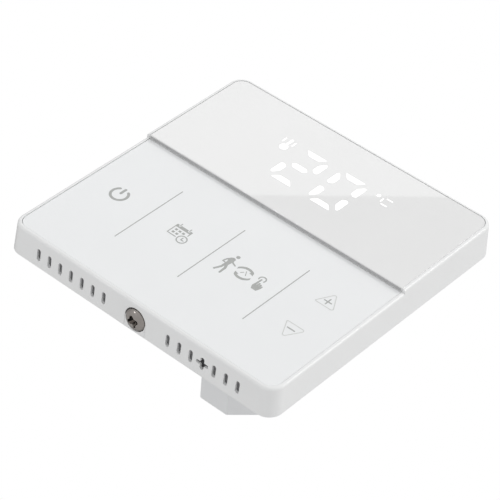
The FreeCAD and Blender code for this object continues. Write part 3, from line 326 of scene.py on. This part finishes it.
def flat_mesh(name, solids, holes, front, thickness):
    """The union of some outlines less some holes, as one thin closed sheet behind y = front."""
    outlines = [counterclockwise(outline) for outline in solids + holes]
    points = [Vector(point) for outline in outlines for point in outline]
    faces = []
    start = 0
    for outline in outlines:
        faces.append(list(range(start, start + len(outline))))
        start += len(outline)
    insides_only = 1
    tolerance = 1e-5
    corners, _, triangles, _, _, sources = delaunay_2d_cdt(points, [], faces, insides_only, tolerance)
    kept = []
    for triangle, source in zip(triangles, sources):
        inside = any(number < len(solids) for number in source)
        removed = any(number >= len(solids) for number in source)
        if inside and not removed:
            kept.append(triangle)
    shape = bmesh.new()
    vertices = [shape.verts.new((corner.x * MM, front + thickness * MM, corner.y * MM)) for corner in corners]
    for triangle in kept:
        shape.faces.new([vertices[number] for number in triangle])
    loose = [vertex for vertex in shape.verts if not vertex.link_faces]
    bmesh.ops.delete(shape, geom=loose, context="VERTS")
    bmesh.ops.dissolve_limit(shape, angle_limit=0.001, verts=shape.verts[:], edges=shape.edges[:])
    pushed = bmesh.ops.extrude_face_region(shape, geom=shape.faces[:], use_keep_orig=True)
    moved = [item for item in pushed["geom"] if isinstance(item, bmesh.types.BMVert)]
    bmesh.ops.translate(shape, verts=moved, vec=(0.0, -thickness * MM, 0.0))
    return finished_mesh(shape, name)


def add_piece(name, mesh, body, finish):
    """Put a mesh in the scene with its finish, riding on a body."""
    piece = bpy.data.objects.new(name, mesh)
    bpy.context.scene.collection.objects.link(piece)
    mesh.materials.clear()
    mesh.materials.append(finish.material)
    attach(piece, body)
    return piece


# Signs printed on the touch plate

INK = ink_finish()
PALE_INK = pale_ink_finish()
INK_THICKNESS = 0.02
PLATE_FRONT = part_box("touch_panel")[0].y - INK_THICKNESS * MM


def print_sign(name, solids, holes=(), finish=INK):
    """Lay one sign on the touch plate."""
    mesh = flat_mesh(name, solids, list(holes), PLATE_FRONT, INK_THICKNESS)
    add_piece(name, mesh, "front", finish)


def power_sign():
    """A ring open at the top with a bar through the gap."""
    centre = (-31.0, -15.9)
    ring = stroke(arc(centre, 2.28, 127.0, 413.0, 60), 0.72)
    bar = stroke([(centre[0], -13.55), (centre[0], -15.4)], 0.72)
    print_sign("sign_power", ring + bar)


def calendar_sign():
    """A calendar leaf with two rings, five days and a clock over its lower corner."""
    left, right = -13.05, -8.3
    top, low = -13.95, -17.8
    line = 0.28
    clock = (-8.5, -17.6)
    leaf = stroke([(right, -15.6), (right, top), (left, top), (left, low), (right, low)], line)
    header = [[(left, -14.8), (right, -14.8), (right, top), (left, top)]]
    rings = []
    gaps = [disc(clock, 1.8)]
    for across in (-12.2, -9.2):
        rings += stroke([(across, -13.15), (across, -13.95)], 0.26)
        gaps += stroke([(across, -13.0), (across, -14.05)], 0.62)
    days = []
    for column in range(3):
        for row in range(2 if column < 2 else 1):
            days.append(box_outline((-12.0 + 1.17 * column, -15.65 - 1.15 * row), 0.72, 0.66))
    print_sign("sign_calendar", leaf + header, gaps)
    print_sign("sign_calendar_rings", rings + days)
    face = stroke(arc(clock, 1.32, 0.0, 352.0, 48), 0.32, closed=True)
    hands = stroke([(-8.62, -16.95), (-8.62, -17.78), (-7.9, -17.78)], 0.3)
    print_sign("sign_clock", face + hands)


def walker_sign():
    """A walking figure."""
    head = [disc((5.55, -12.65), 0.53)]
    trunk = [[(4.3, -13.95), (4.75, -13.6), (5.2, -13.45), (5.8, -13.8), (5.8, -15.2), (5.6, -16.8),
              (4.55, -16.8), (4.5, -15.4), (4.2, -14.9)]]
    back_arm = stroke([(4.65, -14.0), (3.95, -14.9), (3.65, -16.1)], 0.42)
    hand = stroke([(3.65, -16.1), (4.5, -16.2)], 0.34)
    front_arm = stroke([(5.4, -14.1), (5.85, -15.05), (7.05, -15.55)], 0.5, 0.4)
    back_leg = stroke([(4.85, -16.3), (4.75, -17.9), (3.98, -19.65)], 0.66, 0.58)
    front_leg = stroke([(5.15, -16.3), (5.8, -17.8), (5.87, -19.8)], 0.8, 0.56)
    print_sign("sign_walker", head + trunk + back_arm + hand + front_arm + back_leg + front_leg)


def swoosh(centre, side):
    """One of two arrows that chase each other round a centre; a side of -1 gives it half a turn."""
    outer = arc((0.0, -0.6), 2.9, 150.0, 52.0, 20)
    inner = arc((0.05, -1.15), 2.72, 68.0, 152.0, 20)
    block = [(2.1, 0.72), (0.86, 1.02)]
    return [(centre[0] + side * x, centre[1] + side * z) for x, z in outer + block + inner]


def cycle_sign():
    """Two chasing arrows about a small peak."""
    centre = (10.32, -16.05)
    peak = stroke([(9.5, -16.4), (10.05, -15.75)], 0.2) + stroke([(10.35, -15.1), (11.1, -16.4)], 0.2)
    print_sign("sign_cycle", [swoosh(centre, 1), swoosh(centre, -1)] + peak)


def hand_sign():
    """A hand with one finger raised under an arc."""
    finger = stroke([(14.82, -14.75), (14.72, -17.3)], 0.44, 0.6)
    palm = [[(14.4, -16.9), (14.35, -17.7), (14.85, -18.75), (16.35, -18.75), (16.75, -17.6), (16.8, -16.9)]]
    knuckles = []
    for across, up in ((15.42, -16.15), (16.0, -16.42), (16.55, -16.75)):
        knuckles += stroke([(across, up), (across, -17.4)], 0.5)
    wave = stroke(arc((14.93, -14.55), 0.92, -32.0, 206.0, 30), 0.34)
    print_sign("sign_hand", finger + palm + knuckles + wave)


def triangle_sign(name, centre_x, base, point, sign):
    """A rounded triangle between a base level and a point level, with a sign in it."""
    half = 2.62
    corner = 0.5
    direction = 1.0 if point > base else -1.0
    near_base = base + direction * corner * 0.9
    near_point = point - direction * corner * 1.5
    middles = [(centre_x - half + corner, near_base), (centre_x + half - corner, near_base),
               (centre_x, near_point)]
    starts = (210.0, -90.0, 30.0) if direction > 0 else (150.0, 90.0, -30.0)
    points = []
    for middle, start in zip(middles, starts):
        end = start + direction * (60.0 if middle is middles[0] else 120.0)
        points += arc(middle, corner, start, end, 8)
    print_sign(f"{name}_outline", stroke(points, 0.26, closed=True), finish=PALE_INK)
    print_sign(name, sign)


def key_signs():
    """Up with a plus and down with a minus."""
    middle = 31.0
    reach = 1.05
    plus_level, minus_level = -9.4, -22.9
    plus = stroke([(middle - reach, plus_level), (middle + reach, plus_level)], 0.36)
    plus += stroke([(middle, plus_level + 1.1), (middle, plus_level - 1.0)], 0.36)
    minus = stroke([(middle - reach, minus_level), (middle + reach, minus_level)], 0.38)
    triangle_sign("sign_up", middle, -11.1, -6.25, plus)
    triangle_sign("sign_down", middle, -21.15, -25.95, minus)


def separators():
    """Three hairlines between the keys."""
    key_pitch = 20.7
    for number in range(3):
        across = key_pitch * (number - 1)
        print_sign(f"separator_{number + 1}", [box_outline((across, -16.1), 0.26, 24.4)])


# Lit segments on the display

GLOW = glow_finish()
GLOW_THICKNESS = 0.02
LENS_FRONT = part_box("display_lens")[0].y - GLOW_THICKNESS * MM


def light_up(name, solids):
    """One lit shape, just in front of the plate."""
    mesh = flat_mesh(name, solids, [], LENS_FRONT, GLOW_THICKNESS)
    add_piece(name, mesh, "front", GLOW)


def softened(points, radius=0.25):
    """An outline with its corners cut round."""
    count = len(points)
    result = []
    for number in range(count):
        corner = Vector(points[number])
        before = Vector(points[number - 1])
        after = Vector(points[(number + 1) % count])
        reach = min(radius, (before - corner).length / 2.2, (after - corner).length / 2.2)
        start = corner + (before - corner).normalized() * reach
        end = corner + (after - corner).normalized() * reach
        for step in range(5):
            part = step / 4
            bend = start * (1 - part) ** 2 + corner * 2 * part * (1 - part) + end * part ** 2
            result.append(tuple(bend))
    return result


SEGMENTS = {
    "top": [(-3.1, 7.25), (3.1, 7.25), (1.6, 5.65), (-1.6, 5.65)],
    "bottom": [(-1.6, -5.65), (1.6, -5.65), (3.1, -7.25), (-3.1, -7.25)],
    "middle": [(-2.45, 0.1), (-1.7, 0.9), (1.7, 0.9), (2.45, 0.1), (1.7, -0.7), (-1.7, -0.7)],
    "right_high": [(4.5, 5.85), (4.7, 5.3), (4.7, 1.55), (3.9, 1.15), (2.9, 1.85), (2.9, 4.3), (4.1, 5.85)],
}


def mirrored(points, across, up):
    """An outline mirrored across one or both axes."""
    turned = [(x * across, z * up) for x, z in points]
    return turned if across * up > 0 else turned[::-1]


def digit(number, centre, names):
    """One seven-segment digit."""
    shapes = dict(SEGMENTS)
    shapes["left_high"] = mirrored(SEGMENTS["right_high"], -1, 1)
    shapes["right_low"] = mirrored(SEGMENTS["right_high"], 1, -1)
    shapes["left_low"] = mirrored(SEGMENTS["right_high"], -1, -1)
    outlines = []
    for name in names:
        moved = [(centre[0] + x, centre[1] + z) for x, z in shapes[name]]
        outlines.append(softened(moved))
    light_up(f"digit_{number}", outlines)


def display_signs():
    """The two digits, the thermometer and the degree sign."""
    digit(1, (-5.6, 23.0), ("top", "right_high", "middle", "left_low", "bottom"))
    digit(2, (7.15, 22.85), ("top", "right_high", "right_low", "left_high", "left_low", "bottom"))
    bulb = (-14.15, 26.9)
    light_up("sign_thermometer", [disc(bulb, 1.12)] + stroke([(-14.15, 27.5), (-14.15, 30.4)], 0.55))
    for number, across in enumerate((-15.9, -12.75)):
        light_up(f"sign_thermometer_bar_{number + 1}", stroke([(across, 28.6), (across, 30.1)], 0.28))
    degree = (15.4, 29.1)
    light_up("sign_degree", stroke(arc(degree, 0.42, 0.0, 350.0, 36), 0.2, closed=True))
    unit = stroke([(17.75, 29.5), (19.35, 29.5)], 0.28)
    unit += stroke([(17.0, 27.7), (17.0, 28.9)], 0.28)
    unit += stroke([(17.75, 27.0), (19.35, 27.0)], 0.28)
    light_up("sign_unit", unit)


# Metal and small parts

RECESS_DEPTH = 1.3


def turned_mesh(name, profile, steps=96):
    """Revolve (radius, level) points about z into a closed surface; the first and last lie on the axis."""
    shape = bmesh.new()
    rings = []
    for radius, level in profile:
        if radius == 0.0:
            rings.append([shape.verts.new((0.0, 0.0, level * MM))])
            continue
        ring = []
        for number in range(steps):
            angle = 2 * math.pi * number / steps
            place = Vector((radius * math.cos(angle), radius * math.sin(angle), level))
            ring.append(shape.verts.new(place * MM))
        rings.append(ring)
    for lower, upper in zip(rings, rings[1:]):
        for number in range(steps):
            after = (number + 1) % steps
            corners = [lower[number % len(lower)], lower[after % len(lower)],
                       upper[after % len(upper)], upper[number % len(upper)]]
            shape.faces.new(list(dict.fromkeys(corners)))
    return finished_mesh(shape, name)


def cross_cutter(crown):
    """The tapered four-pointed bit of a screwdriver, pointing up into a head whose crown faces down."""
    shape = bmesh.new()
    ends = []
    for reach, half, inner, level in ((2.25, 0.5, 1.05, crown - 1.0), (1.05, 0.2, 0.5, crown + RECESS_DEPTH)):
        outline = []
        for quarter in range(4):
            angle = math.radians(90.0 * quarter - 22.0)
            for x, y in ((reach, -half), (reach, half), (inner, inner)):
                place = Vector((x * math.cos(angle) - y * math.sin(angle),
                                x * math.sin(angle) + y * math.cos(angle), level))
                outline.append(shape.verts.new(place * MM))
        ends.append(outline)
    outer, deep = ends
    shape.faces.new(outer[::-1])
    shape.faces.new(deep)
    for number in range(len(outer)):
        after = (number + 1) % len(outer)
        shape.faces.new([outer[number], outer[after], deep[after], deep[number]])
    return finished_mesh(shape, "cross_cutter")


def across_mesh(name, solids, holes, outer, inner, slope=0.0):
    """Outlines in x and y less some holes, made solid between two levels; the outer one may slope with y."""
    mesh = flat_mesh(name, solids, holes, 0.0, 1.0)
    for vertex in mesh.vertices:
        x, side, y = vertex.co
        level = outer * MM - slope * y if side < 0.5 * MM else inner * MM
        vertex.co = (x, y, level)
    mesh.flip_normals()
    return mesh


def lock_collar():
    """A plastic collar on the washer that fills the shell's notch round the head, flush with the edge."""
    half = 3.22
    bore = 3.1
    wall_side = -0.1
    low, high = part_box("lock_screw")
    middle = (low.y + high.y) / 2 / MM
    outer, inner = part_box("front_shell")[0].z / MM + 0.03, -40.72
    edge_slope = 0.0968
    block = [(-half, middle), (half, middle), (half, wall_side), (-half, wall_side)]
    mesh = across_mesh("lock_collar", [block], [disc((0.0, middle), bore, 96)], outer, inner, edge_slope)
    add_piece("lock_collar", mesh, "lock_washer_body", FINISHES["shell_plastic"])


def vent_shade_finish(name, color, dark, light):
    """Painted shade for the vent slots: a mottle between a dark and a lighter grey, over a relief of deep
    pores.
    """
    finish = Finish(name, color, 0.9)
    finish.tint(finish.noise(0.4), dark, light)
    return finish.bump(finish.noise(0.15), 0.05)


def vent_shade_plugs():
    """Dark grey plugs in the vent slots, a little below the surface, and darkest before the sensor: painted
    shade inside the slots.
    """
    # Both greys are painted shade: the slots are dark inside, and near black in the cross before the sensor.
    plug_shade = vent_shade_finish("vent_shade_grey", (0.16, 0.16, 0.165), (0.12, 0.12, 0.125), (0.2, 0.2, 0.205))
    deep = vent_shade_finish("vent_shade_black", (0.03, 0.03, 0.032), (0.02, 0.02, 0.022), (0.045, 0.045, 0.047))
    first, pitch, count = 10.36, 3.633, 7
    near, middle, far = -2.51, -3.63, -4.75
    sensor_number = 3
    for side, name in ((-1, "left"), (1, "right")):
        plugs = []
        for number in range(count):
            across = side * (first + pitch * number)
            slot = stroke([(across, near), (across, far)], 1.16)
            if side * number == sensor_number:
                cross = stroke([(across - 1.4, middle), (across + 1.4, middle)], 0.96) + slot
            else:
                plugs += slot
        add_shade_plug(f"vent_filter_{name}", plugs, plug_shade)
    add_shade_plug("vent_filter_sensor", cross, deep)


def add_shade_plug(name, plugs, plug_shade):
    """Plugs of painted shade in the lower wall of the front."""
    outer, inner = -42.05, -41.05
    add_piece(name, across_mesh(name, plugs, [], outer, inner), "front", plug_shade)


def bricks(name, blocks):
    """One mesh of small bevelled blocks, each given by its low and high corners."""
    shape = bmesh.new()
    for low, high in blocks:
        for vertex in bmesh.ops.create_cube(shape, size=1.0)["verts"]:
            vertex.co = Vector([(low[axis] + high[axis]) / 2 + vertex.co[axis] * (high[axis] - low[axis])
                                for axis in range(3)]) * MM
    smallest = min(high[axis] - low[axis] for low, high in blocks for axis in range(3))
    bmesh.ops.bevel(shape, geom=shape.edges[:], offset=smallest * 0.2 * MM, segments=2, affect="EDGES")
    return finished_mesh(shape, name)


def chip_legs():
    """Bent legs on all four sides of the controller, soldered to the back of the display board."""
    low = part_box("mcu_chip")[0] / MM
    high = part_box("mcu_chip")[1] / MM
    board = low.y
    pitch, half, count = 0.8, 0.15, 13
    # Each block's start and end are measured from the chip's edge, and its under and top from the board.
    shoulder_and_foot = ((0.0, 0.45, 0.3, 0.45), (0.35, 1.0, 0.02, 0.4))
    legs = []
    for number in range(count):
        along = pitch * (number - count // 2)
        for edge, way in ((low.x, -1), (high.x, 1)):
            level = (low.z + high.z) / 2 + along
            for start, end, under, top in shoulder_and_foot:
                near, far = sorted((edge + way * start, edge + way * end))
                legs.append(((near, board + under, level - half), (far, board + top, level + half)))
        for edge, way in ((low.z, -1), (high.z, 1)):
            across = (low.x + high.x) / 2 + along
            for start, end, under, top in shoulder_and_foot:
                near, far = sorted((edge + way * start, edge + way * end))
                legs.append(((across - half, board + under, near), (across + half, board + top, far)))
    add_piece("mcu_legs", bricks("mcu_legs", legs), "front", FINISHES["shield_metal"])


def board_chips():
    """Rows of small resistors and capacitors on the back of the display board."""
    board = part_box("mcu_chip")[0].y / MM
    under, pitch, half, end_width = board + 0.02, 2.6, 0.5, 0.35
    rows = [(-16.0, 3.0), (-16.0, 6.0), (-16.0, 9.0), (12.0, 3.0), (12.0, 6.0), (12.0, 9.0), (-22.0, -22.0),
            (-14.0, -22.0), (14.0, -22.0), (22.0, -22.0), (-24.0, 18.0), (18.0, 18.0)]
    bodies = []
    ends = []
    for start, level in rows:
        for number in range(3):
            x = start + pitch * number
            bodies.append(((x - half, under, level - half), (x + half, board + 0.55, level + half)))
            for side in (-1, 1):
                near, far = sorted((x + side * half, x + side * (half + end_width)))
                ends.append(((near, under, level - 0.52), (far, board + 0.58, level + 0.52)))
    kinds = (("board_chip_bodies", bodies, "chip_black"), ("board_chip_ends", ends, "shield_metal"))
    for name, blocks, slot in kinds:
        add_piece(name, bricks(name, blocks), "front", FINISHES[slot])


def antenna_trace():
    """The folded antenna line on the radio module."""
    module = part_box("wifi_module")[1] / MM
    start, pitch, runs = module.x - 4.4, 0.9, 5
    ends = [module.z - 10.6, module.z - 1.4]
    points = []
    for number in range(runs):
        points += [(start + pitch * number, level) for level in ends]
        ends.reverse()
    mesh = flat_mesh("antenna_trace", stroke(points, 0.35), [], (module.y - 0.01) * MM, 0.03)
    add_piece("antenna_trace", mesh, "front", FINISHES["bright_brass"])


def step_shade_strip():
    """A grey strip on the face of the step between the display plate and the touch plate: painted shade on
    the step's face.
    """
    # Mid grey with a faint mottle: painted shade where the step's face lies in shadow.
    finish = Finish("painted_step_shade", (0.5, 0.5, 0.505), 0.6)
    finish.tint(finish.noise(0.8), (0.46, 0.46, 0.465), (0.54, 0.54, 0.545))
    finish.bump(finish.noise(0.3), 0.003)
    half = 40.9
    near, far = -9.0, -8.25
    thickness = 0.04
    strip = softened([(-half, near), (half, near), (half, far), (-half, far)], 0.2)
    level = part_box("display_lens")[0].z / MM
    mesh = across_mesh("step_shade_strip", [strip], [], level - thickness, level)
    add_piece("step_shade_strip", mesh, "front", finish)


def screw_profile(crown, under, tip):
    """A domed head from its crown to its underside, and a threaded shank up to its tip."""
    head_radius, dome_height = 3.02, 1.35
    shank_radius, thread_root, thread_pitch = 1.45, 1.18, 0.55
    dome_steps = 24
    profile = [(0.0, crown)]
    for number in range(1, dome_steps + 1):
        turn = math.pi / 2 * number / dome_steps
        radius = head_radius * math.sin(turn) ** 0.85
        profile.append((radius, crown + dome_height * (1 - math.cos(turn)) ** 1.15))
    profile += [(head_radius, under - 0.08), (head_radius - 0.1, under), (shank_radius, under)]
    level = under + 0.15
    while level < tip - 0.8:
        profile += [(shank_radius, level), (thread_root, level + 0.25), (shank_radius, level + 0.5)]
        level += thread_pitch
    return profile + [(0.9, tip), (0.0, tip)]


def cut_mesh(mesh, cutter_mesh):
    """A copy of one mesh with another taken away from it."""
    whole = bpy.data.objects.new("whole", mesh)
    cutter = bpy.data.objects.new("cutter", cutter_mesh)
    for item in (cutter, whole):
        bpy.context.scene.collection.objects.link(item)
    cut = whole.modifiers.new("cut", "BOOLEAN")
    cut.operation = "DIFFERENCE"
    cut.solver = "EXACT"
    cut.object = cutter
    bpy.context.view_layer.update()
    result = bpy.data.meshes.new_from_object(whole.evaluated_get(bpy.context.evaluated_depsgraph_get()))
    bpy.data.objects.remove(whole)
    bpy.data.objects.remove(cutter)
    return result


def lock_screw():
    """The pan head screw in the lower edge, with a domed head, a cross recess and a threaded shank."""
    low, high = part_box("lock_screw")
    axis = Vector(((low.x + high.x) / 2, (low.y + high.y) / 2, 0.0))
    head = low.z / MM
    crown = head - 0.8
    profile = screw_profile(crown, head + 1.9, high.z / MM)
    solid = cut_mesh(turned_mesh("lock_screw_head", profile), cross_cutter(crown))
    solid.transform(Matrix.Translation(axis))
    for face in solid.polygons:
        face.use_smooth = True
    solid.set_sharp_from_angle(angle=math.radians(32.0))
    piece = add_piece("lock_screw_turned", solid, "lock_screw_body", FINISHES["screw_steel"])
    shade = moulded("recess_shade", (0.02, 0.019, 0.018), 0.8, sockets={"Specular IOR Level": 0.1})
    solid.materials.append(shade.material)
    recess_radius = 2.0
    for face in solid.polygons:
        depth = face.center.z / MM - crown
        if (face.center - axis).xy.length / MM < recess_radius and 0.3 < depth < RECESS_DEPTH + 0.05:
            face.material_index = 1
    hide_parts("lock_screw")


# Camera, light and floor

def place_camera():
    """The camera looks at the lower right of the front from below, rolled with the object."""
    azimuth = math.radians(35.708)
    elevation = math.radians(-36.632)
    roll = math.radians(55.208)
    distance = 0.55013
    aim = Vector((-0.00043, 0.0004, -0.00078))
    back = Vector((math.sin(azimuth) * math.cos(elevation), -math.cos(azimuth) * math.cos(elevation),
                   math.sin(elevation)))
    data = bpy.data.cameras.new("camera")
    data.lens = 159.956
    data.sensor_width = 36.0
    data.clip_start = 0.01
    camera = bpy.data.objects.new("camera", data)
    bpy.context.scene.collection.objects.link(camera)
    camera.rotation_mode = "QUATERNION"
    camera.rotation_quaternion = (-back).to_track_quat("-Z", "Y") @ Quaternion((0.0, 0.0, 1.0), roll)
    camera.location = aim + back * distance
    bpy.context.scene.camera = camera


def light_world():
    """A pale studio: white behind the object, and soft light that is brightest from the front and above."""
    world = bpy.data.worlds.new("studio")
    bpy.context.scene.world = world
    world.use_nodes = True
    nodes = world.node_tree.nodes
    links = world.node_tree.links
    nodes.clear()
    direction = nodes.new("ShaderNodeTexCoord").outputs["Generated"]
    lean = nodes.new("ShaderNodeVectorMath")
    lean.operation = "DOT_PRODUCT"
    links.new(direction, lean.inputs[0])
    lean.inputs[1].default_value = (0.14, -0.27, 0.22)
    level = nodes.new("ShaderNodeMath")
    level.operation = "ADD"
    links.new(lean.outputs["Value"], level.inputs[0])
    level.inputs[1].default_value = 0.612
    seen = nodes.new("ShaderNodeBackground")
    seen.inputs["Color"].default_value = (1.0, 1.0, 1.0, 1.0)
    seen.inputs["Strength"].default_value = 1.0
    lit = nodes.new("ShaderNodeBackground")
    lit.inputs["Color"].default_value = (1.0, 1.0, 1.0, 1.0)
    links.new(level.outputs["Value"], lit.inputs["Strength"])
    path = nodes.new("ShaderNodeLightPath")
    mix = nodes.new("ShaderNodeMixShader")
    output = nodes.new("ShaderNodeOutputWorld")
    links.new(path.outputs["Is Camera Ray"], mix.inputs[0])
    links.new(lit.outputs[0], mix.inputs[1])
    links.new(seen.outputs[0], mix.inputs[2])
    links.new(mix.outputs[0], output.inputs["Surface"])


def soft_box(name, place, aim, width, height, radiance, roll=0.0, color=(1.0, 1.0, 1.0)):
    """A rectangular light at a place in millimetres, turned to a point, of a given brightness."""
    data = bpy.data.lights.new(name, "AREA")
    data.shape = "RECTANGLE"
    data.size = width * MM
    data.size_y = height * MM
    data.energy = radiance * math.pi * data.size * data.size_y
    data.color = color
    light = bpy.data.objects.new(name, data)
    bpy.context.scene.collection.objects.link(light)
    light.location = Vector(place) * MM
    light.visible_camera = False
    light.rotation_mode = "QUATERNION"
    facing = (Vector(aim) - Vector(place)).to_track_quat("-Z", "Y")
    light.rotation_quaternion = facing @ Quaternion((0.0, 0.0, 1.0), math.radians(roll))


def light_studio():
    """A large box above at the left, whose lower edge the display mirrors, and two smaller ones."""
    soft_box("box_above", (-621.8, -653.8, 833.3), (-69.0, 95.9, 76.7), 520.0, 300.0, 1.34, 55.08)
    soft_box("box_right", (650.0, -470.0, 600.0), (0.0, 0.0, 0.0), 300.0, 300.0, 6.0, 0.0, (1.0, 0.99, 0.97))
    soft_box("box_low", (-300.0, -385.0, -415.0), (0.0, 0.0, 0.0), 70.0, 70.0, 15.0)


def lay_floor():
    """A plain pale floor well below the wall piece."""
    level = -0.5
    reach = 3.0
    steps = 12
    shape = bmesh.new()
    place = Matrix.Translation((0.0, 0.0, level))
    bmesh.ops.create_grid(shape, x_segments=steps, y_segments=steps, size=reach, matrix=place)
    mesh = bpy.data.meshes.new("floor")
    shape.to_mesh(mesh)
    shape.free()
    floor = bpy.data.objects.new("floor", mesh)
    bpy.context.scene.collection.objects.link(floor)
    finish = Finish("floor_paint", (0.8, 0.8, 0.8), 0.7)
    finish.bump(finish.noise(4.0), 0.02)
    mesh.materials.append(finish.material)


bpy.context.scene.view_settings.view_transform = "Standard"
finish_nodes()
power_sign()
calendar_sign()
walker_sign()
cycle_sign()
hand_sign()
key_signs()
separators()
display_signs()
lock_screw()
lock_collar()
vent_shade_plugs()
step_shade_strip()
chip_legs()
board_chips()
antenna_trace()
place_camera()
light_world()
light_studio()
lay_floor()
